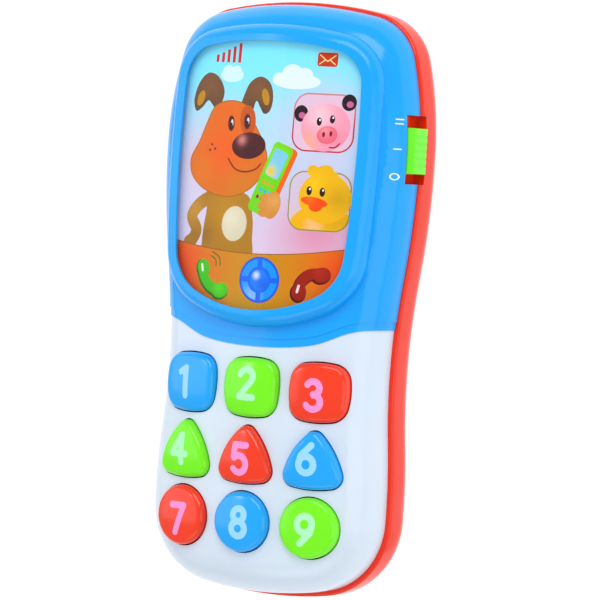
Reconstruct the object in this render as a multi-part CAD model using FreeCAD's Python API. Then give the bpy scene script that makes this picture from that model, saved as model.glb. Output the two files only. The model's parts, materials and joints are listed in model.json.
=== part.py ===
# Toy cell phone for a small child: two-colour front, orange back, nine domed keys,
# a picture window, a three-position slide switch, a battery door and what works inside.
# Millimetres. The phone lies on its back: +Z out of its face, +Y towards its top end,
# +X towards the side that carries the slide switch. The origin is under its middle.
import FreeCAD
import Part
import math
import os
from FreeCAD import Vector

# ---- casing ----
body_length = 165.4
body_width = 79.4
waist_pinch = 5.0
foot_flare = 1.4
wall = 2.2
back_wall = 2.0
edge_rounding = 11.0
face_crown_drop = 7.07
face_rise = 15.1
back_bulge = 1.0
back_rounding = 7.5
top_end_radius = 124.0
foot_end_radius = 112.0
shoulder_radius = 105.0
top_corner_radius = 16.0
foot_corner_radius = 22.0
lip_step = 0.25
lip_band = 2.3
lap_gap = 0.15

# ---- picture window ----
window_width = 57.4
window_height = 75.0
window_from_top = 48.1
window_side_radius = 350.0
window_top_radius = 107.0
window_foot_radius = 45.0
window_top_corner = 10.0
window_foot_corner = 14.0
ridge_width = 4.8
ridge_rounding = 4.3
ridge_rise = 0.9
window_thickness = 1.4
window_seat = 1.6
split_drop = 10.2

# ---- keys ----
key_width = 17.1
key_height = 16.6
round_key_diameter = 16.9
triangle_width = 16.9
triangle_height = 16.1
key_spacing_x = 3.5
key_spacing_y = 1.84
key_from_foot = 20.7
key_rise = 2.9
key_dome_radius = 34.0
key_edge_rounding = 1.7
key_gap = 0.35
key_flange = 0.8
key_flange_thickness = 1.2
key_skin = 1.6
key_travel = 1.5
stem_diameter = 5.0

# ---- batteries, boards and membrane ----
battery_diameter = 10.5
battery_length = 44.5
battery_gap = 0.25
contact_room = 3.2
bay_wall = 1.6
bay_roof = 1.2
board_gap = 0.6
board_thickness = 1.6
membrane_thickness = 0.8
dome_height = 1.7
clearance = 0.1

# ---- slide switch ----
notch_length = 19.0
notch_height = 5.9
switch_from_top = 38.9
knob_length = 12.7
knob_proud = 1.6
knob_below_seam = 1.4
knob_offset = -0.3

# ---- speaker ----
speaker_diameter = 28.0
speaker_from_top = 31.0
magnet_diameter = 15.0
grille_hole = 2.0
grille_pitch = 4.0

# ---- battery door ----
door_margin = 2.625
door_gap = 0.25
door_inset = 0.3
door_screw_diameter = 2.6

# ---- screws ----
screw_diameter = 2.5
screw_head = 4.8
boss_diameter = 6.0
small_screw = 1.7
small_boss = 4.0

# ---- heights that follow ----
seam_z = back_wall + battery_diameter + 2 * battery_gap
bay_roof_z = seam_z
board_z = bay_roof_z + bay_roof + board_gap
board_top = board_z + board_thickness
dome_top = board_top + membrane_thickness + dome_height
key_base = dome_top + clearance
face_z = board_top + face_rise
above = 60.0

# ---- places that follow ----
top_y = body_length / 2
foot_y = -body_length / 2
head_half = body_width / 2
waist_half = head_half - waist_pinch
face_crown_radius = (head_half ** 2 + face_crown_drop ** 2) / (2 * face_crown_drop)
foot_half = waist_half + foot_flare
window_y = top_y - window_from_top
window_foot_y = window_y - window_height / 2
window_top_y = window_y + window_height / 2
split_y = window_foot_y - split_drop
head_y = top_y - 39.7
waist_y = split_y - 8.9
foot_wide_y = foot_y + 27.7
widest_key = max(key_width, triangle_width, round_key_diameter)
tallest_key = max(key_height, triangle_height, round_key_diameter)
pitch_x = widest_key + key_spacing_x
pitch_y = tallest_key + key_spacing_y
row_y = [foot_y + key_from_foot + 2 * pitch_y, foot_y + key_from_foot + pitch_y, foot_y + key_from_foot]
switch_y = top_y - switch_from_top
speaker_y = top_y - speaker_from_top
battery_y = foot_y + 43.5
bay_length = battery_length + 2 * contact_room
bay_width = 2 * battery_diameter + 3 * battery_gap
door_width = bay_width + 2 * door_margin
bay_top_y = battery_y + bay_length / 2
bay_foot_y = battery_y - bay_length / 2
door_top_y = bay_top_y + 1.9
door_foot_y = bay_foot_y - 9.0
door_screw_y = bay_foot_y - 4.6

# ---- face profile along the length: place and height against the middle key row ----
face_profile = [
    (foot_y - 6, -1.1),
    (row_y[2], 0.1),
    (row_y[0], -1.2),
    (split_y + 5, -2.0),
    (window_y, -1.7),
    (window_top_y - 14, -2.7),
    (top_y + 6, -4.3),
]
window_profile = [
    (window_foot_y - 20, 2.1),
    (window_foot_y + 16, 1.25),
    (window_y + 4, 0.3),
    (window_top_y - 13, -0.9),
    (top_y + 10, -3.1),
]


# ---- outlines made of tangent arcs ----
def meet_two(first, second, from_first, from_second, pick):
    # a point at given distances from two centres, chosen by pick
    dx = second[0] - first[0]
    dy = second[1] - first[1]
    apart = math.hypot(dx, dy)
    along = (from_first ** 2 - from_second ** 2 + apart ** 2) / (2 * apart)
    across = math.sqrt(from_first ** 2 - along ** 2)
    base_x = first[0] + along * dx / apart
    base_y = first[1] + along * dy / apart
    left = (base_x - across * dy / apart, base_y + across * dx / apart)
    right = (base_x + across * dy / apart, base_y - across * dx / apart)
    return max(left, right, key=pick)


def corner_between(first, second, radius, pick):
    # the small circle that touches both large ones from inside
    x, y = meet_two(first, second, first[2] - radius, second[2] - radius, pick)
    return (x, y, radius)


def touch_point(first, second, offset):
    one = first[2] + offset
    two = second[2] + offset
    x = (two * first[0] - one * second[0]) / (two - one)
    y = (two * first[1] - one * second[1]) / (two - one)
    return Vector(x, y, 0)


def arc_on(circle, offset, start, end):
    centre = Vector(circle[0], circle[1], 0)
    middle = (start - centre) + (end - centre)
    middle.normalize()
    return Part.Arc(start, centre + middle * abs(circle[2] + offset), end).toShape()


def mirrored(point):
    return Vector(-point.x, point.y, 0)


def outline_wire(circles, offset=0.0):
    # circles run down the right side; a hollow curve has a negative radius
    if len(circles) == 1:
        x, y, radius = circles[0]
        return Part.Wire(Part.makeCircle(radius + offset, Vector(x, y, 0)))
    points = []
    for first, second in zip(circles, circles[1:]):
        points.append(touch_point(first, second, offset))
    top, foot = circles[0], circles[-1]
    top_middle = Vector(0, top[1] + top[2] + offset, 0)
    foot_middle = Vector(0, foot[1] - foot[2] - offset, 0)
    edges = [Part.Arc(mirrored(points[0]), top_middle, points[0]).toShape()]
    sides = list(zip(circles[1:-1], points, points[1:]))
    for circle, start, end in sides:
        edges.append(arc_on(circle, offset, start, end))
    edges.append(Part.Arc(points[-1], foot_middle, mirrored(points[-1])).toShape())
    for circle, start, end in reversed(sides):
        twin = (-circle[0], circle[1], circle[2])
        edges.append(arc_on(twin, offset, mirrored(end), mirrored(start)))
    return Part.Wire(edges)


def prism(circles, offset, low, high):
    face = Part.Face(outline_wire(circles, offset))
    face.translate(Vector(0, 0, low))
    return face.extrude(Vector(0, 0, high - low))


def body_circles():
    top_end = (0, top_y - top_end_radius, top_end_radius)
    foot_end = (0, foot_y + foot_end_radius, foot_end_radius)
    shoulder = (head_half - shoulder_radius, head_y, shoulder_radius)
    upper_run = head_y - waist_y
    lower_run = waist_y - foot_wide_y
    upper_sum = (upper_run ** 2 + waist_pinch ** 2) / (2 * waist_pinch)
    lower_sum = (lower_run ** 2 + foot_flare ** 2) / (2 * foot_flare)
    waist_radius = min(upper_sum, lower_sum) / 2
    hip_radius = upper_sum - waist_radius
    foot_radius = lower_sum - waist_radius
    hip = (head_half - hip_radius, head_y, hip_radius)
    waist = (waist_half + waist_radius, waist_y, -waist_radius)
    foot_side = (foot_half - foot_radius, foot_wide_y, foot_radius)
    top_corner = corner_between(top_end, shoulder, top_corner_radius, lambda p: p[1])
    foot_corner = corner_between(foot_end, foot_side, foot_corner_radius, lambda p: -p[1])
    return [top_end, top_corner, shoulder, hip, waist, foot_side, foot_corner, foot_end]


def window_circles():
    top_end = (0, window_top_y - window_top_radius, window_top_radius)
    foot_end = (0, window_foot_y + window_foot_radius, window_foot_radius)
    side = (window_width / 2 - window_side_radius, window_y + 10, window_side_radius)
    top_corner = corner_between(top_end, side, window_top_corner, lambda p: p[1])
    foot_corner = corner_between(foot_end, side, window_foot_corner, lambda p: -p[1])
    return [top_end, top_corner, side, foot_corner, foot_end]


def square_key_circles():
    end_radius, side_radius, corner = 26.0, 26.0, 4.6
    top_end = (0, key_height / 2 - end_radius, end_radius)
    foot_end = (0, end_radius - key_height / 2, end_radius)
    side = (key_width / 2 - side_radius, 0, side_radius)
    top_corner = corner_between(top_end, side, corner, lambda p: p[1])
    foot_corner = corner_between(foot_end, side, corner, lambda p: -p[1])
    return [top_end, top_corner, side, foot_corner, foot_end]


def triangle_key_circles():
    tip_radius, side_radius, foot_radius, corner = 2.7, 24.0, 30.0, 3.3
    tip = (0, triangle_height / 2 - tip_radius, tip_radius)
    corner_x = triangle_width / 2 - corner
    foot_end_y = foot_radius - triangle_height / 2
    corner_y = foot_end_y - math.sqrt((foot_radius - corner) ** 2 - corner_x ** 2)
    low_corner = (corner_x, corner_y, corner)
    foot_end = (0, foot_end_y, foot_radius)
    x, y = meet_two(tip, low_corner, side_radius - tip_radius, side_radius - corner, lambda p: -p[0])
    return [tip, (x, y, side_radius), low_corner, foot_end]


def round_key_circles():
    return [(0, 0, round_key_diameter / 2)]


# ---- crowned surfaces ----
def crown_surface(profile, shift=0.0):
    rows = []
    for place, height in profile:
        row = []
        for step in range(-4, 5):
            x = 15.0 * step
            fall = face_crown_radius - math.sqrt(face_crown_radius ** 2 - x * x)
            row.append(Vector(x, place, face_z + height + shift - fall))
        rows.append(row)
    surface = Part.BSplineSurface()
    surface.interpolate(rows)
    return surface


def over(profile, shift=0.0):
    # everything above a crowned surface
    return crown_surface(profile, shift).toShape().extrude(Vector(0, 0, above))


def height_at(surface, x, y):
    z = face_z
    for _ in range(4):
        u, v = surface.parameter(Vector(x, y, z))
        z = surface.value(u, v).z
    return z


def slab(circles, offset, profile, low, high):
    # a crowned sheet between two heights of one profile
    block = prism(circles, offset, seam_z - 4, above)
    return block.cut(over(profile, high)).common(over(profile, low))


# ---- small solids ----
def block(x0, x1, y0, y1, z0, z1):
    return Part.makeBox(x1 - x0, y1 - y0, z1 - z0, Vector(x0, y0, z0))


def rod(x, y, diameter, z0, z1):
    return Part.makeCylinder(diameter / 2, z1 - z0, Vector(x, y, z0))


def tube(x, y, outer, inner, z0, z1):
    return rod(x, y, outer, z0, z1).cut(rod(x, y, inner, z0 - 1, z1 + 1))


def join(pieces):
    whole = pieces[0].multiFuse(pieces[1:])
    return whole.removeSplitter()


def rounded_plate(x0, x1, y0, y1, z0, z1, radius):
    plate = block(x0, x1, y0, y1, z0, z1)
    uprights = [e for e in plate.Edges if abs(e.tangentAt(e.FirstParameter).z) > 0.99]
    return plate.makeFillet(radius, uprights)


def round_edges(shape):
    return [e for e in shape.Edges if abs(e.tangentAt(e.FirstParameter).y) < 0.5]


def save(shape, name):
    shape.exportStep("parts/" + name + ".step")
    box = shape.optimalBoundingBox(True)
    print(name, len(shape.Solids), "solids", round(shape.Volume), shape.isValid(),
          [round(v, 1) for v in (box.XMin, box.XMax, box.YMin, box.YMax, box.ZMin, box.ZMax)])


# ---- front casing ----
def top_rim_edges(shape, limit):
    # the edges between the crowned top and the side walls
    chosen = []
    for edge in shape.Edges:
        box = edge.BoundBox
        middle = edge.valueAt((edge.FirstParameter + edge.LastParameter) / 2)
        if box.ZMin > limit and math.hypot(middle.x, middle.y) > 20:
            chosen.append(edge)
    return chosen


def crowned_body(inset, drop, rounding, floor):
    body = prism(body_circles(), -inset, floor, above).cut(over(face_profile, -drop))
    return body.makeFillet(rounding, top_rim_edges(body, floor + 1))


def window_pod():
    pod = prism(window_circles(), ridge_width, seam_z + 4, above)
    pod = pod.cut(over(window_profile, ridge_rise))
    return pod.makeFillet(ridge_rounding, top_rim_edges(pod, seam_z + 5))


def split_curve(shift):
    # the swooping line between the blue and the white front
    half = [(0, 0.0), (0.33, 0.75), (0.5, 2.2), (0.67, 5.1), (0.78, 6.3), (0.93, 6.7), (1.21, 6.8)]
    points = []
    for part_way, rise in half[:0:-1]:
        points.append(Vector(-part_way * head_half, split_y + rise + shift, 0))
    for part_way, rise in half:
        points.append(Vector(part_way * head_half, split_y + rise + shift, 0))
    curve = Part.BSplineCurve()
    curve.interpolate(points)
    return curve.toShape(), points[0], points[-1]


def region(shift, upwards):
    # the part of space above or below the split line
    edge, left, right = split_curve(shift)
    far_y = top_y + 30 if upwards else foot_y - 30
    far_left = Vector(left.x, far_y, 0)
    far_right = Vector(right.x, far_y, 0)
    sides = [
        Part.LineSegment(right, far_right).toShape(),
        Part.LineSegment(far_right, far_left).toShape(),
        Part.LineSegment(far_left, left).toShape(),
    ]
    return Part.Face(Part.Wire([edge] + sides)).extrude(Vector(0, 0, above))


def front_cavity(extra=0.0):
    inset = wall + extra
    return crowned_body(inset, inset, edge_rounding - wall, seam_z - 1)


top_screw_x = head_half - 8.7
foot_screw_x = foot_half - 15.1
case_screw_places = [(-top_screw_x, top_y - 19), (top_screw_x, top_y - 19),
                     (-foot_screw_x, foot_y + 7.9), (foot_screw_x, foot_y + 7.9)]
board_screw_places = [(sx * pitch_x / 2, row_y[1] + sy * pitch_y / 2) for sx in (-1, 1) for sy in (-1, 1)]
low_light_x = window_width / 2 - 1.9
high_light_x = window_width / 2 - 0.7
light_screw_places = [(-low_light_x, window_foot_y - 0.3), (low_light_x, window_foot_y - 0.3),
                      (-high_light_x, window_top_y), (high_light_x, window_top_y)]


def hanging_bosses(places, outer, pilot, low):
    bosses = []
    for x, y in places:
        bosses.append(tube(x, y, outer, pilot, low, face_z))
    return bosses


def front_bezel(cavity):
    rear = seam_z
    outer = crowned_body(0, 0, edge_rounding, rear)
    band = crowned_body(lip_step, lip_step, edge_rounding - lip_step, rear)
    outer = outer.common(region(lip_band, True)).fuse(band.common(region(0, True)))
    shell = outer.fuse(window_pod()).removeSplitter()
    ceiling = over(window_profile, 0.05)
    pocket = prism(window_circles(), window_seat + 0.25, rear - 1, above).cut(ceiling)
    shell = shell.cut(cavity).cut(pocket)
    shell = shell.cut(prism(window_circles(), 0, rear, above))
    bosses = hanging_bosses(case_screw_places[:2], boss_diameter, screw_diameter + 0.1, rear + 0.4)
    bosses += hanging_bosses(light_screw_places, small_boss, small_screw + 0.1, board_top)
    room = cavity.common(region(0, True))
    for boss in bosses:
        shell = shell.fuse(boss.common(room))
    y0 = switch_y - notch_length / 2
    notch = block(head_half - wall - 3, head_half + 5, y0, y0 + notch_length, rear - 1, rear + notch_height)
    return shell.cut(notch).removeSplitter()


def keypad_cover(cavity):
    rear = seam_z
    step = 2 * lip_step
    shell = crowned_body(step, step, edge_rounding - step, rear).common(region(0, False))
    shell = shell.cut(cavity)
    tongue_outer = front_cavity(lap_gap).common(region(-3, True)).common(region(4.5, False))
    tongue_root = cavity.common(region(-3, True)).common(region(-lap_gap, False))
    tongue = tongue_outer.fuse(tongue_root).cut(front_cavity(lap_gap + 1.2))
    tongue = tongue.common(block(-body_width, body_width, foot_y, top_y, rear + 3, above))
    for x, y in light_screw_places:
        tongue = tongue.cut(rod(x, y, small_boss + 0.8, rear, above))
    shell = shell.fuse(tongue)
    bosses = hanging_bosses(case_screw_places[2:], boss_diameter, screw_diameter + 0.1, rear + 0.4)
    bosses += hanging_bosses(board_screw_places, small_boss, small_screw + 0.1, board_top)
    for boss in bosses:
        shell = shell.fuse(boss.common(cavity))
    for _, x, y, circles in key_table():
        hole = prism(circles, key_gap, rear, above)
        hole.translate(Vector(x, y, 0))
        shell = shell.cut(hole)
    return shell.removeSplitter()


# ---- keys ----
def key_table():
    shapes = [square_key_circles(), triangle_key_circles(), round_key_circles()]
    table = []
    for index in range(9):
        row, column = divmod(index, 3)
        table.append((index + 1, (column - 1) * pitch_x, row_y[row], shapes[row]))
    return table


def rim_on_sphere(shape, centre, radius):
    chosen = []
    for edge in shape.Edges:
        middle = edge.valueAt((edge.FirstParameter + edge.LastParameter) / 2)
        if abs((middle - centre).Length - radius) < 0.01 and not edge.Degenerated:
            chosen.append(edge)
    return chosen


def key(x, y, circles, surface):
    lean = math.asin(x / face_crown_radius)
    normal = Vector(math.sin(lean), 0, math.cos(lean))
    top = Vector(x, y, height_at(surface, x, y)) + normal * key_rise
    centre = top - normal * key_dome_radius
    cap = prism(circles, 0, key_base, above)
    cap.translate(Vector(x, y, 0))
    away = Vector(0, -1, 0)  # keeps the sphere's poles and seam off the cap
    cap = cap.common(Part.makeSphere(key_dome_radius, centre, away))
    cap = cap.makeFillet(key_edge_rounding, rim_on_sphere(cap, centre, key_dome_radius))
    flange = prism(circles, key_flange, key_base, key_base + key_flange_thickness)
    flange.translate(Vector(x, y, 0))
    hollow = prism(circles, -key_skin, key_base - 1, above)
    hollow.translate(Vector(x, y, 0))
    hollow = hollow.common(Part.makeSphere(key_dome_radius - key_skin - 0.4, centre, away))
    hollow = hollow.cut(rod(x, y, stem_diameter, key_base - 2, above))
    return cap.fuse(flange).cut(hollow).removeSplitter()


def keypad_membrane():
    half_x = pitch_x + widest_key / 2 + 0.3
    sheet = rounded_plate(-half_x, half_x, row_y[2] - round_key_diameter / 2 + 0.3,
                          row_y[0] + key_height / 2 - 0.3, board_top, board_top + membrane_thickness, 3)
    base = board_top + membrane_thickness
    for _, x, y, _ in key_table():
        spot = Vector(x, y, base - 0.1)
        sheet = sheet.fuse(Part.makeCone(stem_diameter, stem_diameter * 0.7, dome_height + 0.1, spot))
    for _, x, y, _ in key_table():
        spot = Vector(x, y, board_top - 0.1)
        hollow = Part.makeCone(stem_diameter - 0.7, stem_diameter * 0.7 - 0.7, dome_height + 0.1, spot)
        sheet = sheet.cut(hollow)
    for x, y in board_screw_places:
        sheet = sheet.cut(rod(x, y, small_boss + 0.8, board_top - 1, base + 1))
    return sheet.removeSplitter()


# ---- window, picture and light ----
def screen_window():
    return slab(window_circles(), window_seat, window_profile, -window_thickness, 0)


def picture_card():
    low = -window_thickness - 0.5
    return slab(window_circles(), window_seat - 0.4, window_profile, low, low + 0.4)


led_places = [(-0.244 * window_width, window_y - 9), (0.33 * window_width, window_y + 14),
              (0.314 * window_width, window_y - 6)]


def light_box():
    floor = board_top + 0.5
    tall = prism(window_circles(), -0.6, floor, above).cut(over(window_profile, -window_thickness - 0.6))
    tall = tall.cut(prism(window_circles(), -1.8, floor + 1.2, above))
    cross = block(-0.6, 0.6, window_foot_y + 1, window_top_y - 1, floor, above)
    cross = cross.cut(over(window_profile, -window_thickness - 0.6))
    tray = tall.fuse(cross)
    for x, y in led_places:
        tray = tray.cut(rod(x, y, 6.0, floor - 1, floor + 3))
    return tray.removeSplitter()


def led_lamps():
    lamps = []
    for x, y in led_places:
        body = rod(x, y, 5.0, board_top, board_top + 3)
        dome = Part.makeSphere(2.5, Vector(x, y, board_top + 3))
        lamps.append(body.fuse(dome).removeSplitter())
    return Part.makeCompound(lamps)


def light_board():
    z0, z1 = board_z, board_top
    half = window_width / 2
    foot, top = window_foot_y - 2.5, window_top_y + 2.2
    plate = block(2.2 - half, half - 2.2, foot, top, z0, z1)
    low = block(-half - 0.8, half + 0.8, foot, foot + 5.0, z0, z1)
    high = block(-half - 1.3, half + 1.3, top - 4.7, top, z0, z1)
    plate = plate.multiFuse([low, high])
    for x, y in light_screw_places:
        plate = plate.cut(rod(x, y, small_screw + 0.4, z0 - 1, z1 + 1))
    return plate.removeSplitter()


def keypad_board():
    half_x = pitch_x + widest_key / 2 + 0.9
    plate = rounded_plate(-half_x, half_x, row_y[2] - round_key_diameter / 2,
                          row_y[0] + key_height / 2 + 6.0, board_z, board_top, 3)
    for x, y in board_screw_places:
        plate = plate.cut(rod(x, y, small_screw + 0.4, board_z - 1, board_top + 1))
    for x in (-6.0, 6.0):
        plate = plate.cut(rod(x, bay_top_y - 0.9, 1.4, board_z - 1, board_top + 1))
    return plate


def board_components():
    y = row_y[0] + key_height / 2 + 0.2
    blob_x = bay_width / 2 + bay_wall + 1.525
    blob = Part.makeSphere(9.0, Vector(blob_x, y - 4, board_z + 8.3))
    blob = blob.common(block(blob_x - 9, blob_x + 9, y - 13, y + 5, bay_roof_z + 0.2, board_z))
    can = rod(0.6 - pitch_x, y - 2, 2.0, board_z - 3, board_z)
    chip_x = -pitch_x - 7.4
    chip = block(chip_x, chip_x + 4, y - 5, y - 1, board_z - 1.0, board_z)
    return Part.makeCompound([blob, can, chip])


def small_screws(places):
    screws = []
    for x, y in places:
        shank = rod(x, y, small_screw, board_z - 0.3, board_top + 3.5)
        head = rod(x, y, 2 * small_screw, board_z - 1.0, board_z)
        screws.append(shank.fuse(head).removeSplitter())
    return Part.makeCompound(screws)


# ---- rear casing ----
post_floor = seam_z - 5.0
switch_board_x = head_half - 11.2


def case_screws():
    screws = []
    for x, y in case_screw_places:
        shank = rod(x, y, screw_diameter, post_floor - 0.3, seam_z + 6)
        head = rod(x, y, screw_head, post_floor - 1.8, post_floor)
        slot = block(x - 0.4, x + 0.4, y - 1.5, y + 1.5, post_floor - 2, post_floor - 1)
        cross = block(x - 1.5, x + 1.5, y - 0.4, y + 0.4, post_floor - 2, post_floor - 1)
        screws.append(shank.fuse(head).removeSplitter().cut(slot).cut(cross))
    return Part.makeCompound(screws)


def grille_places():
    places = []
    steps = int(speaker_diameter / 2 / grille_pitch) + 1
    for i in range(-steps, steps + 1):
        for j in range(-steps, steps + 1):
            x = grille_pitch * (i + 0.5 * (j % 2))
            y = grille_pitch * j * math.sqrt(3) / 2
            if math.hypot(x, y) < speaker_diameter / 2 - 2.2:
                places.append((x, speaker_y + y))
    return places


def rear_shell():
    shell = prism(body_circles(), back_bulge, 0, seam_z)
    foot_rim = [e for e in shell.Edges if e.BoundBox.ZMax < 0.01]
    shell = shell.makeFillet(back_rounding, foot_rim)
    top_rim = [e for e in shell.Edges if e.BoundBox.ZMin > seam_z - 0.01]
    shell = shell.makeFillet(back_bulge * 0.9, top_rim)
    hollow = prism(body_circles(), -wall, back_wall, seam_z + 1)
    foot_rim = [e for e in hollow.Edges if e.BoundBox.ZMax < back_wall + 0.01]
    hollow = hollow.makeFillet(back_rounding - wall - back_bulge, foot_rim)
    return shell.cut(hollow)


def alignment_lip():
    outer = prism(body_circles(), -wall - lap_gap, seam_z - 2, seam_z + 1.5)
    lip = outer.cut(prism(body_circles(), -wall - lap_gap - 1.0, seam_z - 3, seam_z + 2))
    root = prism(body_circles(), -wall + 0.2, seam_z - 2, seam_z - 0.2)
    root = root.cut(prism(body_circles(), -wall - lap_gap - 1.0, seam_z - 3, seam_z))
    for x, y in case_screw_places:
        lip = lip.cut(rod(x, y, boss_diameter + 0.8, seam_z, seam_z + 2))
    return lip.fuse(root)


def switch_fence():
    # the orange wall that closes the notch behind the knob, with the slot for its stem
    x1 = head_half - wall - lap_gap
    y0 = switch_y - notch_length / 2 + 0.15
    y1 = y0 + notch_length - 0.3
    fence = block(x1 - 1.3, x1, y0, y1, seam_z - 3, seam_z + notch_height - 0.2)
    travel = (notch_length - knob_length) / 2
    slot = block(x1 - 3, x1 + 1, switch_y - 3 - travel, switch_y + 3 + travel, seam_z + 1.4, seam_z + 4.2)
    return fence.cut(slot)


def battery_bay():
    half = bay_width / 2 + bay_wall
    y0, y1 = bay_foot_y - bay_wall, bay_top_y + bay_wall
    bay = block(-half, half, y0, y1, back_wall, bay_roof_z + bay_roof)
    ledge = block(-door_width / 2 - 1.6, door_width / 2 + 1.6, door_foot_y - 1.6, door_top_y + 3.4,
                  back_wall - 0.5, back_wall + 2)
    boss = rod(0, door_screw_y, 6.8, back_wall + 1, seam_z)
    return bay.multiFuse([ledge, boss])


def door_clearances():
    room = door_gap
    cuts = [block(-door_width / 2 - room, door_width / 2 + room, door_foot_y - room, door_top_y + room,
                  -1, back_wall + 0.05)]
    cuts.append(block(-bay_width / 2, bay_width / 2, bay_foot_y, bay_top_y, -1, bay_roof_z))
    cuts.append(rod(0, door_screw_y, 7.8, -1, back_wall + 2.6))
    cuts.append(rod(0, door_screw_y, door_screw_diameter + 0.7, 0, seam_z - 2))
    for x in (-8.0, 8.0):
        y0, y1 = door_top_y - 3.4, door_top_y + 3.0
        cuts.append(block(x - 2.8, x + 2.8, y0, y1, back_wall, back_wall + 5))
    for x in (-6.0, 6.0):
        cuts.append(block(x - 1.0, x + 1.0, bay_top_y - 1.6, bay_top_y - 0.2, bay_roof_z - 1, board_z))
    return cuts


def rear_cover():
    shell = rear_shell().fuse(alignment_lip())
    inside = prism(body_circles(), -wall + 0.4, back_wall - 0.4, seam_z + 12)
    posts = []
    for x, y in case_screw_places:
        posts.append(rod(x, y, boss_diameter + 1.4, 0.5, seam_z))
    for post in posts:
        shell = shell.fuse(post.common(inside))
    seat = speaker_diameter + 0.5
    ring = tube(0, speaker_y, seat + 2.7, seat, back_wall - 0.3, back_wall + 4.5)
    shell = shell.multiFuse([battery_bay(), ring])
    for cut in door_clearances():
        shell = shell.cut(cut)
    for x, y in case_screw_places:
        shell = shell.cut(rod(x, y, screw_head + 0.8, -1, post_floor))
        shell = shell.cut(rod(x, y, screw_diameter + 0.4, 0, seam_z + 2))
    for x, y in board_screw_places:
        shell = shell.cut(rod(x, y, 2 * small_screw + 0.8, board_z - 1.2, board_z + 1))
    for x, y in grille_places():
        shell = shell.cut(rod(x, y, grille_hole, -1, back_wall + 0.5))
    y0 = switch_y - notch_length / 2
    x0 = head_half - wall - lap_gap
    z0 = seam_z - knob_below_seam - 0.3
    shell = shell.cut(block(x0, head_half + 5, y0, y0 + notch_length, z0, seam_z + 9))
    inner_x = switch_board_x - 1.3
    outer_x = head_half - 5.3
    rail = block(inner_x, outer_x, switch_y - 7, switch_y + 7, back_wall - 0.3, seam_z + 0.2)
    channel = block(inner_x + 1.2, outer_x - 1.4, switch_y - 8, switch_y + 8, back_wall + 2, above)
    opening = block(inner_x - 1, inner_x + 1.4, switch_y - 4.6, switch_y + 4.6, seam_z - 4.2, above)
    rail = rail.cut(channel).cut(opening)
    shell = shell.multiFuse([switch_fence(), rail])
    return shell.removeSplitter()


def battery_door():
    low, high = door_inset, back_wall
    door = rounded_plate(-door_width / 2, door_width / 2, door_foot_y, door_top_y, low, high, 1.2)
    boss = rod(0, door_screw_y, 7.0, low, back_wall + 2.2)
    tabs = []
    for x in (-8.0, 8.0):
        y0 = door_top_y - 3
        tabs.append(block(x - 2.4, x + 2.4, y0, door_top_y - 0.4, high - 0.5, high + 0.3))
        tabs.append(block(x - 2.4, x + 2.4, y0, door_top_y + 2.4, high + 0.15, high + 1.3))
    door = door.multiFuse([boss] + tabs)
    door = door.cut(rod(0, door_screw_y, 5.4, -1, low + 2.1))
    door = door.cut(rod(0, door_screw_y, door_screw_diameter + 0.3, 0, above))
    for step in range(6):
        y = door_top_y - 6 - 2.2 * step
        door = door.cut(block(-7, 7, y - 0.5, y + 0.5, -1, low + 0.5))
    return door.removeSplitter()


def battery_door_screw():
    head = rod(0, door_screw_y, screw_head, door_inset + 0.5, door_inset + 2.05)
    shank = rod(0, door_screw_y, door_screw_diameter, door_inset + 1, back_wall + 5.2)
    screw = head.fuse(shank).removeSplitter()
    screw = screw.cut(block(-0.4, 0.4, door_screw_y - 1.5, door_screw_y + 1.5, 0, door_inset + 1.3))
    return screw.cut(block(-1.5, 1.5, door_screw_y - 0.4, door_screw_y + 0.4, 0, door_inset + 1.3))


# ---- batteries and contacts ----
battery_z = back_wall + battery_gap + battery_diameter / 2
battery_x = (battery_diameter + battery_gap) / 2


def battery(side):
    # the two cells lie side by side and point opposite ways
    nub = 1.2
    low = battery_y - battery_length / 2
    start = low if side > 0 else low + nub
    along = Vector(0, 1, 0)
    foot = Vector(side * battery_x, start, battery_z)
    can = Part.makeCylinder(battery_diameter / 2, battery_length - nub, foot, along)
    can = can.makeFillet(0.6, round_edges(can))
    tip_y = low + battery_length - nub - 0.2 if side > 0 else low
    tip = Part.makeCylinder(1.9, nub + 0.2, Vector(side * battery_x, tip_y, battery_z), along)
    return can.fuse(tip).removeSplitter()


def battery_terminals():
    # two leaves at the upper end, each with a tail that reaches the board
    leaves = []
    for side in (-1, 1):
        x = side * battery_x
        y = bay_top_y
        plate = block(x - 3.5, x + 3.5, y - 0.6, y - 0.2, back_wall + 2, bay_roof_z - 0.3)
        leaf_y = y - contact_room + 0.4
        spring = block(x - 2, x + 2, leaf_y, leaf_y + 0.4, battery_z - 2, battery_z + 2)
        link = block(x - 2, x + 2, leaf_y, y - 0.2, battery_z + 1.6, battery_z + 2)
        tail_x = side * 6.0
        tail = block(tail_x - 0.5, tail_x + 0.5, y - 1.1, y - 0.7, bay_roof_z - 1.2, board_top)
        foot = block(tail_x - 0.5, tail_x + 0.5, y - 1.1, y - 0.2, bay_roof_z - 1.2, bay_roof_z - 0.8)
        leaves.append(plate.multiFuse([spring, link, tail, foot]).removeSplitter())
    return Part.makeCompound(leaves)


def battery_bridge():
    # one leaf at the foot end joins the two cells
    y = bay_foot_y
    plate = block(-9.5, 9.5, y + 0.2, y + 0.6, back_wall + 2, bay_roof_z - 0.3)
    leaf_y = y + contact_room - 0.4
    pieces = []
    for side in (-1, 1):
        x = side * battery_x
        pieces.append(block(x - 2, x + 2, leaf_y - 0.4, leaf_y, battery_z - 2, battery_z + 2))
        pieces.append(block(x - 2, x + 2, y + 0.2, leaf_y, battery_z + 1.6, battery_z + 2))
    return plate.multiFuse(pieces).removeSplitter()


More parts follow.
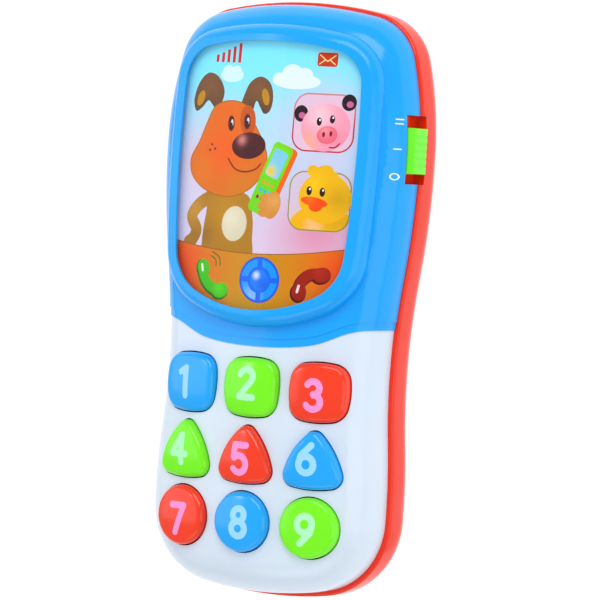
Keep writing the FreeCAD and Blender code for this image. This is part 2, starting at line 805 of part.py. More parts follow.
# ---- speaker ----
def speaker_frame():
    r = speaker_diameter / 2
    low = back_wall + 0.6
    outer = Part.makeCylinder(r, 1.2, Vector(0, speaker_y, low))
    basket = Part.makeCone(r - 1.2, r * 0.62, 3.6, Vector(0, speaker_y, low + 1.0))
    inner = Part.makeCone(r - 2.0, r * 0.62 - 0.8, 3.8, Vector(0, speaker_y, low + 0.6))
    frame = outer.fuse(basket).cut(inner).cut(rod(0, speaker_y, speaker_diameter - 3.6, low - 1, low + 0.7))
    plate = tube(0, speaker_y, speaker_diameter * 0.62, 12.0, low + 4.2, low + 5.0)
    return frame.fuse(plate).removeSplitter()


def speaker_cone():
    r = speaker_diameter / 2
    low = back_wall + 0.9
    outer = Part.makeCone(r - 2.4, 5.0, 2.6, Vector(0, speaker_y, low))
    inner = Part.makeCone(r - 3.0, 4.4, 2.6, Vector(0, speaker_y, low - 0.5))
    dome = rod(0, speaker_y, 10.4, low + 2.2, low + 2.7)
    return outer.cut(inner).fuse(dome).removeSplitter()


def speaker_magnet():
    low = back_wall + 5.7
    return rod(0, speaker_y, magnet_diameter, low, low + 3.4)


# ---- slide switch ----
knob_y = switch_y + knob_offset


def mode_switch_knob():
    x0 = head_half - wall - lap_gap + 0.2
    x1 = head_half + knob_proud
    low = seam_z - knob_below_seam
    high = seam_z + notch_height - 0.35
    knob = block(x0, x1, knob_y - knob_length / 2, knob_y + knob_length / 2, low, high)
    outer_edges = [e for e in knob.Edges if e.BoundBox.XMin > x1 - 0.01]
    knob = knob.makeFillet(0.6, outer_edges)
    for step in range(-2, 3):
        y = knob_y + 2.0 * step
        knob = knob.cut(block(x1 - 0.35, x1 + 1, y - 0.35, y + 0.35, low - 1, high + 1))
    stem = block(x0 - 2.6, x0 + 0.5, knob_y - 2.6, knob_y + 2.6, seam_z + 1.8, seam_z + 3.8)
    return knob.fuse(stem).removeSplitter()


def mode_switch_slider():
    x1 = head_half - wall - lap_gap + 0.2 - 2.6
    nub = block(x1 - 2.2, x1, knob_y - 1.0, knob_y + 1.0, seam_z + 1.9, seam_z + 3.7)
    shoe = block(x1 - 3.4, x1 - 2.2, knob_y - 1.8, knob_y + 1.8, seam_z + 1.5, seam_z + 4.1)
    return nub.fuse(shoe).removeSplitter()


def mode_switch_body():
    x1 = head_half - wall - lap_gap + 0.2 - 2.6 - 1.6
    x0 = switch_board_x + 1.3
    can = block(x0, x1, switch_y - 6.6, switch_y + 6.6, seam_z + 0.6, seam_z + 5.0)
    travel = (notch_length - knob_length) / 2
    long, short = travel + 2.2, travel + 1.3
    room = block(x0 + 0.8, x1 - 0.5, switch_y - long, switch_y + long, seam_z + 1.3, seam_z + 4.3)
    slot = block(x1 - 1, x1 + 1, switch_y - short, switch_y + short, seam_z + 1.7, seam_z + 3.9)
    return can.cut(room).cut(slot)


def mode_switch_board():
    x1 = switch_board_x + 1.2
    return block(switch_board_x, x1, switch_y - 6.6, switch_y + 6.6, back_wall + 3.2, seam_z + 5.2)


# ---- wires ----
def wire_tube(points, diameter):
    # straight runs joined by tangent arcs
    edges = []
    start = points[0]
    for before, corner, after in zip(points, points[1:], points[2:]):
        to_before = before - corner
        to_after = after - corner
        turn = math.pi - to_before.getAngle(to_after)
        reach = 0.45 * min(to_before.Length, to_after.Length)
        to_before.normalize()
        to_after.normalize()
        arc_start = corner + to_before * reach
        arc_end = corner + to_after * reach
        inwards = to_before + to_after
        inwards.normalize()
        radius = reach / math.tan(turn / 2)
        middle = corner + inwards * (radius / math.cos(turn / 2) - radius)
        edges.append(Part.LineSegment(start, arc_start).toShape())
        edges.append(Part.Arc(arc_start, middle, arc_end).toShape())
        start = arc_end
    edges.append(Part.LineSegment(start, points[-1]).toShape())
    direction = points[1] - points[0]
    circle = Part.Wire(Part.makeCircle(diameter / 2, points[0], direction))
    return Part.Wire(edges).makePipeShell([circle], True, False)


def link_wires():
    # four wires between the two boards, each in a shallow hanging loop
    wires = []
    y0 = row_y[0] + key_height / 2 + 5
    y1 = window_foot_y - 1.4
    low = board_z - 3.0
    for step in range(4):
        x = -3.0 + 2.0 * step
        points = [Vector(x, y0, board_z), Vector(x, y0, low), Vector(x, y1, low), Vector(x, y1, board_z)]
        wires.append(wire_tube(points, 1.0))
    return Part.makeCompound(wires)


def speaker_wires():
    wires = []
    y0 = speaker_y - magnet_diameter / 2 - 0.45
    for side in (-1, 1):
        x = side * 2.0
        points = [Vector(x, y0, back_wall + 5.6), Vector(x, y0, board_z - 3),
                  Vector(x, y0 - 8, board_z - 3), Vector(x, y0 - 8, board_z)]
        wires.append(wire_tube(points, 1.0))
    return Part.makeCompound(wires)


def switch_wires():
    wires = []
    for step in range(3):
        y = switch_y - 3.0 + 3.0 * step
        x = window_width / 2 - 4.7
        points = [Vector(switch_board_x, y, seam_z - 3), Vector(x, y, seam_z - 3), Vector(x, y, board_z)]
        wires.append(wire_tube(points, 1.0))
    return Part.makeCompound(wires)


def main():
    os.makedirs("parts", exist_ok=True)
    cavity = front_cavity()
    save(front_bezel(cavity), "front_bezel")
    save(keypad_cover(cavity), "keypad_cover")
    save(rear_cover(), "rear_cover")
    save(battery_door(), "battery_door")
    save(battery_door_screw(), "battery_door_screw")
    save(screen_window(), "screen_window")
    save(picture_card(), "picture_card")
    save(light_box(), "light_box")
    surface = crown_surface(face_profile, -2 * lip_step)
    for number, x, y, circles in key_table():
        save(key(x, y, circles, surface), "key_" + str(number))
    save(keypad_membrane(), "keypad_membrane")
    save(keypad_board(), "keypad_board")
    save(board_components(), "board_components")
    save(small_screws(board_screw_places), "board_screws")
    save(light_board(), "light_board")
    save(small_screws(light_screw_places), "light_board_screws")
    save(led_lamps(), "led_lamps")
    save(case_screws(), "case_screws")
    save(battery(-1), "battery_1")
    save(battery(1), "battery_2")
    save(battery_terminals(), "battery_terminals")
    save(battery_bridge(), "battery_bridge")
    save(speaker_frame(), "speaker_frame")
    save(speaker_cone(), "speaker_cone")
    save(speaker_magnet(), "speaker_magnet")
    save(mode_switch_knob(), "mode_switch_knob")
    save(mode_switch_slider(), "mode_switch_slider")
    save(mode_switch_body(), "mode_switch_body")
    save(mode_switch_board(), "mode_switch_board")
    save(link_wires(), "link_wires")
    save(speaker_wires(), "speaker_wires")
    save(switch_wires(), "switch_wires")


main()
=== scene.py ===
import json
import math
import bmesh
import bpy
import numpy as np
from mathutils import Matrix, Vector
from mathutils.bvhtree import BVHTree


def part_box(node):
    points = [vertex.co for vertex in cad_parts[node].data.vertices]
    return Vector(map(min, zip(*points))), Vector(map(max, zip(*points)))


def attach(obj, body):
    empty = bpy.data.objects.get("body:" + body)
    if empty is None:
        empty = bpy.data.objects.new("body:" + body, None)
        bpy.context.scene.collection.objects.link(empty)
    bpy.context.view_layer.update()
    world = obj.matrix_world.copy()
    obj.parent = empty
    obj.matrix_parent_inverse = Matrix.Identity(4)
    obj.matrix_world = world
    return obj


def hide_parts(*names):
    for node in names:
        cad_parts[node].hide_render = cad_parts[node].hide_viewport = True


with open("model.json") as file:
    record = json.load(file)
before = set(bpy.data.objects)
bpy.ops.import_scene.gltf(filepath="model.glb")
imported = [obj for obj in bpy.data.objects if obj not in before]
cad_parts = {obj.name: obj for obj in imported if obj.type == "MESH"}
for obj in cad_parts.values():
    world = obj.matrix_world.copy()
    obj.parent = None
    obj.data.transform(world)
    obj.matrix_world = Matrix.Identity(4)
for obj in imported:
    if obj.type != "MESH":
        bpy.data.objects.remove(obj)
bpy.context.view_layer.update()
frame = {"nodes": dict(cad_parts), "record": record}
nodes = frame["nodes"]
mm = 0.001
print("stage: frame loaded,", len(nodes), "nodes")


# camera: a long lens to the phone's right, with the phone's length upright in the picture
cameraSetup = {"azimuth": 30.375, "elevation": 2.022, "roll": 3.223, "distance": 1100, "lens": 234.9,
               "aimHeight": 17.0, "aimRight": 5.50, "aimUp": -0.22}


def makeCamera(setup):
    around = math.radians(setup["azimuth"])
    lift = math.radians(setup["elevation"])
    roll = math.radians(setup["roll"])
    back = Vector((math.sin(around) * math.cos(lift), math.sin(lift), math.cos(around) * math.cos(lift)))
    level = Vector((math.cos(around), 0, -math.sin(around)))
    upright = back.cross(level)
    right = math.cos(roll) * level + math.sin(roll) * upright
    up = math.cos(roll) * upright - math.sin(roll) * level
    aim = Vector((0, 0, setup["aimHeight"])) + setup["aimRight"] * right + setup["aimUp"] * up
    data = bpy.data.cameras.new("productCamera")
    data.lens = setup["lens"]
    data.sensor_width = 36
    data.clip_start = 0.05
    data.clip_end = 20
    camera = bpy.data.objects.new("productCamera", data)
    place = (aim + setup["distance"] * back) * mm
    turn = Matrix((right, up, back)).transposed().to_4x4()
    camera.matrix_world = Matrix.Translation(place) @ turn
    bpy.context.collection.objects.link(camera)
    bpy.context.scene.camera = camera


makeCamera(cameraSetup)
bpy.context.scene.view_settings.view_transform = "Standard"


# soft light from big panels, and a bright even surround
lightSetup = {"surround": 0.62,
              "panels": [("topPanel", (0.25, 0.75, 0.75), (0.8, 0.5), 4.3),
                         ("rightPanel", (0.85, -0.1, 0.55), (0.6, 0.9), 1.6),
                         ("leftPanel", (-0.8, 0.1, 0.7), (0.7, 0.9), 1.9),
                         ("footPanel", (0.0, -0.8, 0.6), (0.8, 0.4), 1.0),
                         ("keyGlint", (-0.6, 0.32, 0.98), (0.14, 0.09), 0.3)]}


def makeLights(setup):
    world = bpy.data.worlds.new("paleSurround")
    world.use_nodes = True
    world.node_tree.nodes["Background"].inputs["Color"].default_value = (1, 1, 1, 1)
    world.node_tree.nodes["Background"].inputs["Strength"].default_value = setup["surround"]
    bpy.context.scene.world = world
    for name, place, size, power in setup["panels"]:
        data = bpy.data.lights.new(name, "AREA")
        data.shape = "RECTANGLE"
        data.size, data.size_y = size
        data.energy = power
        panel = bpy.data.objects.new(name, data)
        panel.location = place
        panel.rotation_euler = Vector(place).to_track_quat("Z", "Y").to_euler()
        bpy.context.collection.objects.link(panel)


makeLights(lightSetup)
print("stage: camera and lights")


# materials
def linear(hexColour):
    parts = [int(hexColour[i:i + 2], 16) / 255 for i in (1, 3, 5)]
    return [c / 12.92 if c <= 0.04045 else ((c + 0.055) / 1.055) ** 2.4 for c in parts] + [1.0]


def addNode(tree, kind, settings=None, links=None):
    # settings: node fields by name or socket values by name; links: socket name to another node's output
    node = tree.nodes.new(kind)
    for key, value in (settings or {}).items():
        if hasattr(node, key):
            setattr(node, key, value)
        else:
            node.inputs[key].default_value = value
    for key, output in (links or {}).items():
        tree.links.new(output, node.inputs[key])
    return node


def newMaterial(name):
    material = bpy.data.materials.new(name)
    material.use_nodes = True
    tree = material.node_tree
    shader = tree.nodes["Principled BSDF"]
    return material, tree, shader


def mouldedPlastic(name, colour, roughness=0.16, grain=0.35, depth=0.012, mottle=0.05, ior=1.53, coat=0.0):
    # injection moulded: even colour with faint flow clouds, a trace of polish marks in the gloss
    material, tree, shader = newMaterial(name)
    place = addNode(tree, "ShaderNodeTexCoord").outputs["Object"]
    clouds = addNode(tree, "ShaderNodeTexNoise", {"Scale": 1 / (14 * mm), "Detail": 3.0}, {"Vector": place})
    base = linear(colour)
    darker = [c * (1 - mottle) for c in base[:3]] + [1]
    lighter = [min(1, c * (1 + mottle)) for c in base[:3]] + [1]
    tint = addNode(tree, "ShaderNodeMix", {"data_type": "RGBA"})
    tint.inputs[6].default_value = darker
    tint.inputs[7].default_value = lighter
    tree.links.new(clouds.outputs["Fac"], tint.inputs[0])
    tree.links.new(tint.outputs[2], shader.inputs["Base Color"])
    scuffs = addNode(tree, "ShaderNodeTexNoise", {"Scale": 1 / (3 * mm), "Detail": 5.0}, {"Vector": place})
    gloss = addNode(tree, "ShaderNodeMapRange", {"To Min": roughness * 0.8, "To Max": roughness * 1.25},
                    {"Value": scuffs.outputs["Fac"]})
    tree.links.new(gloss.outputs["Result"], shader.inputs["Roughness"])
    peel = addNode(tree, "ShaderNodeTexNoise", {"Scale": 1 / (grain * mm), "Detail": 2.0}, {"Vector": place})
    bump = addNode(tree, "ShaderNodeBump", {"Strength": 0.25, "Distance": depth * mm},
                   {"Height": peel.outputs["Fac"]})
    tree.links.new(bump.outputs["Normal"], shader.inputs["Normal"])
    shader.inputs["IOR"].default_value = ior
    shader.inputs["Coat Weight"].default_value = coat
    return material


plastics = {
    "skyBlueAbs": mouldedPlastic("skyBlueAbs", "#00A4FB", ior=1.45),
    "whiteAbs": mouldedPlastic("whiteAbs", "#D5E3F2", roughness=0.2),
    "orangeRedAbs": mouldedPlastic("orangeRedAbs", "#F02C04", ior=1.45),
    "keyBlueAbs": mouldedPlastic("keyBlueAbs", "#00A6FA"),
    "keyGreenAbs": mouldedPlastic("keyGreenAbs", "#76F400"),
    "keyRedAbs": mouldedPlastic("keyRedAbs", "#F43404"),
    "limeAbs": mouldedPlastic("limeAbs", "#6CF604"),
}


# the crowned face: height along the length at the middle, and one radius across
crownRadius = 115.0
crownReach, crownLikeness = 0.16, 0.93  # how near a corner lies to the curve, and how alike its normal is
facePlaces = [-88.7, -62.0, -24.52, -8.1, 34.6, 58.1, 88.7]
faceHeights = [30.4, 31.6, 30.3, 29.5, 29.8, 28.8, 27.2]
ridgePlaces = [-22.9, 13.1, 38.6, 59.1, 92.7]
ridgeHeights = [33.6, 32.75, 31.8, 30.6, 28.4]
crowns = {"front_bezel": [(facePlaces, faceHeights, (0, -0.25)), (ridgePlaces, ridgeHeights, (0.9,))],
          "keypad_cover": [(facePlaces, faceHeights, (-0.5,))],
          "screen_window": [(ridgePlaces, ridgeHeights, (0,))]}


def heightAlong(places, heights, y):
    # a smooth curve through the heights, and its slope
    slopes = np.gradient(heights, places)
    i = np.clip(np.searchsorted(places, y) - 1, 0, len(places) - 2)
    x0, x1 = np.array(places)[i], np.array(places)[i + 1]
    h0, h1 = np.array(heights)[i], np.array(heights)[i + 1]
    m0, m1 = slopes[i] * (x1 - x0), slopes[i + 1] * (x1 - x0)
    t = np.clip((y - x0) / (x1 - x0), 0, 1)
    height = ((2 * t**3 - 3 * t**2 + 1) * h0 + (t**3 - 2 * t**2 + t) * m0
              + (3 * t**2 - 2 * t**3) * h1 + (t**3 - t**2) * m1)
    slope = ((6 * t**2 - 6 * t) * (h0 - h1) + (3 * t**2 - 4 * t + 1) * m0
             + (3 * t**2 - 2 * t) * m1) / (x1 - x0)
    return height, slope


def crownNormals(mesh, surfaces):
    # long thin triangles shade in streaks, so the crowned face takes its normals from its own curve
    spots = np.empty(len(mesh.vertices) * 3)
    mesh.vertices.foreach_get("co", spots)
    spots = spots.reshape(-1, 3) / mm
    corners = np.empty(len(mesh.loops), np.int32)
    mesh.loops.foreach_get("vertex_index", corners)
    normals = np.empty(len(mesh.loops) * 3, np.float32)
    mesh.corner_normals.foreach_get("vector", normals)
    normals = normals.reshape(-1, 3)
    x, y, z = spots[corners].T
    for places, heights, shifts in surfaces:
        height, slope = heightAlong(places, heights, y)
        fall = crownRadius - np.sqrt(crownRadius**2 - x * x)
        true = np.column_stack([x / (crownRadius - fall), -slope, np.ones(len(x))])
        true /= np.linalg.norm(true, axis=1)[:, None]
        near = np.min([abs(z - (height + shift - fall)) for shift in shifts], axis=0) < crownReach
        near &= (normals * true).sum(1) > crownLikeness
        normals[near] = true[near]
    mesh.normals_split_custom_set(normals.tolist())


# clean copies of the casing pieces
mergeDistance = 2e-6


def cleanCopy(nodeName, pieceName, material, crease=28):
    mesh = nodes[nodeName].data.copy()
    shape = bmesh.new()
    shape.from_mesh(mesh)
    bmesh.ops.remove_doubles(shape, verts=shape.verts, dist=mergeDistance)
    shape.to_mesh(mesh)
    shape.free()
    stored = mesh.attributes.get("custom_normal")  # merging spoils these, and they would hide the sharp edges
    if stored:
        mesh.attributes.remove(stored)
    mesh.materials.clear()
    mesh.materials.append(material)
    mesh.shade_smooth()
    mesh.set_sharp_from_angle(angle=math.radians(crease))
    if nodeName in crowns:
        crownNormals(mesh, crowns[nodeName])
    piece = bpy.data.objects.new(pieceName, mesh)
    bpy.context.collection.objects.link(piece)
    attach(piece, bodyOf(nodeName))
    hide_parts(nodeName)
    return piece


def bodyOf(nodeName):
    for body, members in frame["record"]["behaviour"]["bodies"].items():
        if nodeName in members:
            return body


casing = {"front_bezel": "skyBlueAbs", "keypad_cover": "whiteAbs", "rear_cover": "orangeRedAbs",
          "battery_door": "orangeRedAbs", "mode_switch_knob": "limeAbs"}
casingPieces = {}
for nodeName, plastic in casing.items():
    casingPieces[nodeName] = cleanCopy(nodeName, nodeName + "Shell", plastics[plastic])
print("stage: casing")


# keys
keyColours = "blue green red green red blue red blue green".split()
keyCaps = []
for number, colour in enumerate(keyColours, 1):
    keyCaps.append(cleanCopy("key_" + str(number), "keyCap" + str(number),
                             plastics["key" + colour.title() + "Abs"]))
print("stage: keys")


# flat shapes: a shape is a signed distance in mm, negative inside, and the box that holds it
shapeMargin = 0.3


def ellipseShape(x, y, halfX, halfY, tilt=0):
    turn = math.radians(tilt)

    def distance(px, py):
        u = (px - x) * math.cos(turn) + (py - y) * math.sin(turn)
        v = (py - y) * math.cos(turn) - (px - x) * math.sin(turn)
        return (np.sqrt((u / halfX) ** 2 + (v / halfY) ** 2) - 1) * min(halfX, halfY)
    reach = max(halfX, halfY) + shapeMargin
    return distance, (x - reach, y - reach, x + reach, y + reach)


def boxShape(x, y, halfX, halfY, corner, tilt=0):
    turn = math.radians(tilt)

    def distance(px, py):
        u = abs((px - x) * math.cos(turn) + (py - y) * math.sin(turn)) - halfX + corner
        v = abs((py - y) * math.cos(turn) - (px - x) * math.sin(turn)) - halfY + corner
        return np.hypot(np.maximum(u, 0), np.maximum(v, 0)) + np.minimum(np.maximum(u, v), 0) - corner
    reach = math.hypot(halfX, halfY) + shapeMargin
    return distance, (x - reach, y - reach, x + reach, y + reach)


def smoothLine(points, closed=False, steps=8):
    # a curve through all the points, as short runs
    count = len(points)
    line = []
    for i in range(count if closed else count - 1):
        if closed:
            a, b, c, d = (np.array(points[(i + k) % count], float) for k in (-1, 0, 1, 2))
        else:
            a, b, c, d = (np.array(points[min(max(i + k, 0), count - 1)], float) for k in (-1, 0, 1, 2))
        for step in range(steps):
            t = step / steps
            line.append(0.5 * (2 * b + (c - a) * t + (2 * a - 5 * b + 4 * c - d) * t * t
                               + (3 * b - a - 3 * c + d) * t ** 3))
    if not closed:
        line.append(np.array(points[-1], float))
    return line


def nearestRun(line, px, py, closed):
    best = np.full(px.shape, 1e9)
    runs = list(zip(line, line[1:] + line[:1])) if closed else list(zip(line, line[1:]))
    for start, end in runs:
        run = end - start
        length = max(float(run @ run), 1e-12)
        t = np.clip(((px - start[0]) * run[0] + (py - start[1]) * run[1]) / length, 0, 1)
        best = np.minimum(best, np.hypot(px - start[0] - t * run[0], py - start[1] - t * run[1]))
    return best


def boundsOf(line, reach):
    xs, ys = [p[0] for p in line], [p[1] for p in line]
    return min(xs) - reach, min(ys) - reach, max(xs) + reach, max(ys) + reach


def strokeShape(points, radius, smooth=True):
    line = smoothLine(points) if smooth else [np.array(p, float) for p in points]
    return (lambda px, py: nearestRun(line, px, py, False) - radius), boundsOf(line, radius + shapeMargin)


def outlineShape(line):
    # an outline of straight runs, corners and all
    def distance(px, py):
        inside = np.zeros(px.shape, bool)
        for start, end in zip(line, line[1:] + line[:1]):
            crosses = (start[1] > py) != (end[1] > py)
            rise = end[1] - start[1] if abs(end[1] - start[1]) > 1e-12 else 1e-12
            inside ^= crosses & (px < (end[0] - start[0]) * (py - start[1]) / rise + start[0])
        return np.where(inside, -1, 1) * nearestRun(line, px, py, True)
    return distance, boundsOf(line, shapeMargin)


def blobShape(points):
    return outlineShape(smoothLine(points, closed=True))


def joined(*shapes):
    boxes = [s[1] for s in shapes]
    box = (min(b[0] for b in boxes), min(b[1] for b in boxes),
           max(b[2] for b in boxes), max(b[3] for b in boxes))
    return (lambda px, py: np.minimum.reduce([s[0](px, py) for s in shapes])), box


def overlap(first, second):
    return (lambda px, py: np.maximum(first[0](px, py), second[0](px, py))), first[1]


def without(first, second):
    return (lambda px, py: np.maximum(first[0](px, py), -second[0](px, py))), first[1]


def grown(shape, extra):
    x0, y0, x1, y1 = shape[1]
    return (lambda px, py: shape[0](px, py) - extra), (x0 - extra, y0 - extra, x1 + extra, y1 + extra)


def fillShape(shape, step):
    # triangles over the inside of a shape, cut exactly where the distance is nought
    distance, (x0, y0, x1, y1) = shape
    xs, ys = np.arange(x0, x1 + step, step), np.arange(y0, y1 + step, step)
    px, py = np.meshgrid(xs, ys)
    far = distance(px, py).ravel()
    spots = np.stack([px.ravel(), py.ravel()], 1)
    index = np.arange(far.size).reshape(px.shape)
    a, b = index[:-1, :-1].ravel(), index[:-1, 1:].ravel()
    c, d = index[1:, 1:].ravel(), index[1:, :-1].ravel()
    cells = np.concatenate([np.stack([a, b, c], 1), np.stack([a, c, d], 1)])
    inside = far[cells] < 0
    count = inside.sum(1)
    soup = [spots[cells[count == 3]]]
    for wanted in (1, 2):
        some = cells[count == wanted]
        odd = np.argmax(inside[count == wanted] == (wanted == 1), axis=1)
        rows = np.arange(len(some))
        lone, left, right = some[rows, odd], some[rows, (odd + 1) % 3], some[rows, (odd + 2) % 3]
        toLeft = (far[lone] / (far[lone] - far[left]))[:, None]
        toRight = (far[lone] / (far[lone] - far[right]))[:, None]
        cutLeft = spots[lone] + (spots[left] - spots[lone]) * toLeft
        cutRight = spots[lone] + (spots[right] - spots[lone]) * toRight
        if wanted == 1:
            soup.append(np.stack([spots[lone], cutLeft, cutRight], 1))
        else:
            soup.append(np.stack([cutLeft, spots[left], spots[right]], 1))
            soup.append(np.stack([cutLeft, spots[right], cutRight], 1))
    corners = np.concatenate(soup).reshape(-1, 2)
    points, where = np.unique(np.round(corners, 5), axis=0, return_inverse=True)
    faces = where.reshape(-1, 3)
    keep = (faces[:, 0] != faces[:, 1]) & (faces[:, 1] != faces[:, 2]) & (faces[:, 2] != faces[:, 0])
    return points, faces[keep]


# drawings: layers of ink draped over a curved face, each a hair above the one before
rayTop, straightDown = 0.1, Vector((0, 0, -1))


def surfaceOf(*pieces):
    points, faces = [], []
    for piece in pieces:
        start = len(points)
        points += [v.co.copy() for v in piece.data.vertices]
        faces += [[start + i for i in p.vertices] for p in piece.data.polygons]
    return BVHTree.FromPolygons(points, faces)


fitHalfWidth, fitMiddle, fitHalfLength, fitPowers, probeStep = 40, 30, 50, 7, 2.0


def heightTerms(x, y):
    # terms of a smooth two-way curve, up to the sixth power
    u, v = np.asarray(x) / fitHalfWidth, (np.asarray(y) - fitMiddle) / fitHalfLength
    return np.stack([u**i * v**j for i in range(fitPowers) for j in range(fitPowers - i)], -1)


def smoothHeight(surface, x0, y0, x1, y1):
    # ink lies on a smooth fit of the card, so that no facet of the card shows through it
    spots, heights = [], []
    for x in np.arange(x0, x1, probeStep):
        for y in np.arange(y0, y1, probeStep):
            hit = surface.ray_cast(Vector((x * mm, y * mm, rayTop)), straightDown)[0]
            if hit:
                spots.append((x, y))
                heights.append(hit.z)
    spots = np.array(spots)
    terms = heightTerms(spots[:, 0], spots[:, 1])
    weights = np.linalg.lstsq(terms, np.array(heights), rcond=None)[0]
    print("smooth fit leaves", round(float(abs(terms @ weights - heights).max()) / mm, 4), "mm")
    return lambda x, y: heightTerms(x, y) @ weights


def startDrawing(surface, firstLift, layerStep, shift=0.0, smooth=None):
    return {"surface": surface, "shift": shift, "smooth": smooth, "lift": firstLift, "layerStep": layerStep,
            "points": [], "faces": [], "colours": []}


def inkColours(points, base, glows, fades):
    colours = np.tile(linear(base)[:3], (len(points), 1))
    for (x0, y0), (x1, y1), other in fades:
        run = np.array([x1 - x0, y1 - y0])
        t = np.clip(((points - [x0, y0]) @ run) / (run @ run), 0, 1)
        t = (t * t * (3 - 2 * t))[:, None]
        colours = colours * (1 - t) + np.array(linear(other)[:3]) * t
    for x, y, reach, other, strength in glows:
        t = strength * np.exp(-((points[:, 0] - x) ** 2 + (points[:, 1] - y) ** 2) / reach ** 2)[:, None]
        colours = colours * (1 - t) + np.array(linear(other)[:3]) * t
    return colours


def ink(drawing, shape, base, step=0.3, glows=(), fades=()):
    points, faces = fillShape(shape, step)
    colours = inkColours(points, base, glows, fades)
    points = points + [drawing["shift"], 0]
    drawing["lift"] += drawing["layerStep"]
    heights = []
    for x, y in points:
        hit = drawing["surface"].ray_cast(Vector((x * mm, y * mm, rayTop)), straightDown)[0]
        heights.append(hit.z + drawing["lift"] * mm if hit else np.nan)
    heights = np.array(heights)
    if drawing["smooth"]:
        onCard = ~np.isnan(heights)
        heights[onCard] = drawing["smooth"](*points[onCard].T) + drawing["lift"] * mm
    faces = faces[~np.isnan(heights[faces]).any(1)]
    place = np.column_stack([points * mm, heights])
    used, where = np.unique(faces, return_inverse=True)
    start = sum(len(p) for p in drawing["points"])
    drawing["points"].append(place[used])
    drawing["colours"].append(colours[used])
    drawing["faces"].append(where.reshape(-1, 3) + start)


def finishDrawing(drawing, pieceName, body, material):
    points, faces = np.concatenate(drawing["points"]), np.concatenate(drawing["faces"])
    mesh = bpy.data.meshes.new(pieceName)
    mesh.from_pydata(points.tolist(), [], faces.tolist())
    store = mesh.color_attributes.new("inkColour", "FLOAT_COLOR", "POINT")
    colours = np.column_stack([np.concatenate(drawing["colours"]), np.ones(len(points))])
    store.data.foreach_set("color", colours.astype(np.float32).ravel())
    mesh.materials.append(material)
    mesh.shade_smooth()
    piece = bpy.data.objects.new(pieceName, mesh)
    bpy.context.collection.objects.link(piece)
    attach(piece, body)
    print("drawing", pieceName, len(faces), "triangles")
    return piece


# offset printing ink on coated card: the dot screen leaves a fine mottle, the varnish a soft sheen
def printedInk(name, roughness, bleed, backlight):
    material, tree, shader = newMaterial(name)
    place = addNode(tree, "ShaderNodeTexCoord").outputs["Object"]
    colour = addNode(tree, "ShaderNodeAttribute", {"attribute_name": "inkColour"}).outputs["Color"]
    dots = addNode(tree, "ShaderNodeTexNoise", {"Scale": 1 / (0.25 * mm), "Detail": 1.0}, {"Vector": place})
    value = addNode(tree, "ShaderNodeMapRange", {"To Min": 1 - bleed, "To Max": 1 + bleed},
                    {"Value": dots.outputs["Fac"]})
    tinted = addNode(tree, "ShaderNodeHueSaturation", {"Saturation": 1.12},
                     {"Color": colour, "Value": value.outputs["Result"]})
    tree.links.new(tinted.outputs["Color"], shader.inputs["Base Color"])
    # the ink glows faintly in its own colour: a painted glow standing in for the lamps' light coming through the
    # card from behind
    if backlight:
        tree.links.new(tinted.outputs["Color"], shader.inputs["Emission Color"])
    shader.inputs["Emission Strength"].default_value = backlight
    shader.inputs["Specular IOR Level"].default_value = 0.15
    shader.inputs["Roughness"].default_value = roughness
    return material


# the card's ink takes a faint painted glow for the lamps' light behind it; the pad ink on the keys takes none
cardInk = printedInk("offsetInkOnCard", 0.5, 0.05, 0.1)
padInk = printedInk("padPrintedInk", 0.3, 0.03, 0.0)


# the picture behind the window: a puppy with a toy phone, two animal tiles and a row of call buttons
def drawPicture():
    card = cleanCopy("picture_card", "pictureCard", coatedCard)
    cardSurface = surfaceOf(card)
    page = startDrawing(cardSurface, firstLift=0.015, layerStep=0.0009, shift=-0.9,
                        smooth=smoothHeight(cardSurface, -30, -4, 30, 73))
    whole = boxShape(0, 34.6, 32, 42, 1)
    # the three soft pink spots in the sky are painted glow: the lamps' light shining through the card, put into
    # the ink colour
    ink(page, whole, "#90E8FA", 0.5, fades=[((0, 66), (0, 46), "#B8DDF2"), ((0, 46), (0, 16), "#D9CCE4")],
        glows=[(19, 50, 11, "#F3B4D2", 0.55), (19, 20, 13, "#E08AA4", 0.75), (-21, 38, 9, "#F2B9C9", 0.6)])
    leftCloud = joined(ellipseShape(-12.2, 62, 4, 2), ellipseShape(-13.6, 63, 1.9, 1.8),
                       ellipseShape(-10.8, 63, 1.8, 1.7))
    rightCloud = joined(ellipseShape(9, 61, 7.4, 2.2), ellipseShape(7.6, 63, 3.2, 2.7),
                        ellipseShape(11.3, 62.6, 2.7, 2.2), ellipseShape(3.8, 61.6, 2.2, 1.6))
    ink(page, leftCloud, "#D5EFFA", 0.3)
    ink(page, rightCloud, "#E3F0FB", 0.3)
    barHeights = (2.1, 2.8, 3.6, 4.5, 5.5)
    bars = [boxShape(-17.8 + 1.94 * i, 65.5 + h / 2, 0.5, h / 2, 0.1) for i, h in enumerate(barHeights)]
    ink(page, joined(*bars), "#D9484A", 0.15)
    ink(page, boxShape(17.9, 67.4, 3.0, 1.95, 0.8), "#CC4228", 0.15)
    flap = [(15.6, 68.6), (17.9, 66.9), (20.2, 68.6)]
    ink(page, joined(strokeShape(flap, 0.16, False), strokeShape([(15.6, 66.1), (17.2, 67.3)], 0.16, False),
                     strokeShape([(20.2, 66.1), (18.6, 67.3)], 0.16, False)), "#F3D9A4", 0.1)
    drawPuppy(page)
    drawTiles(page)
    drawButtons(page)
    finishDrawing(page, "pictureInk", "casing", cardInk)


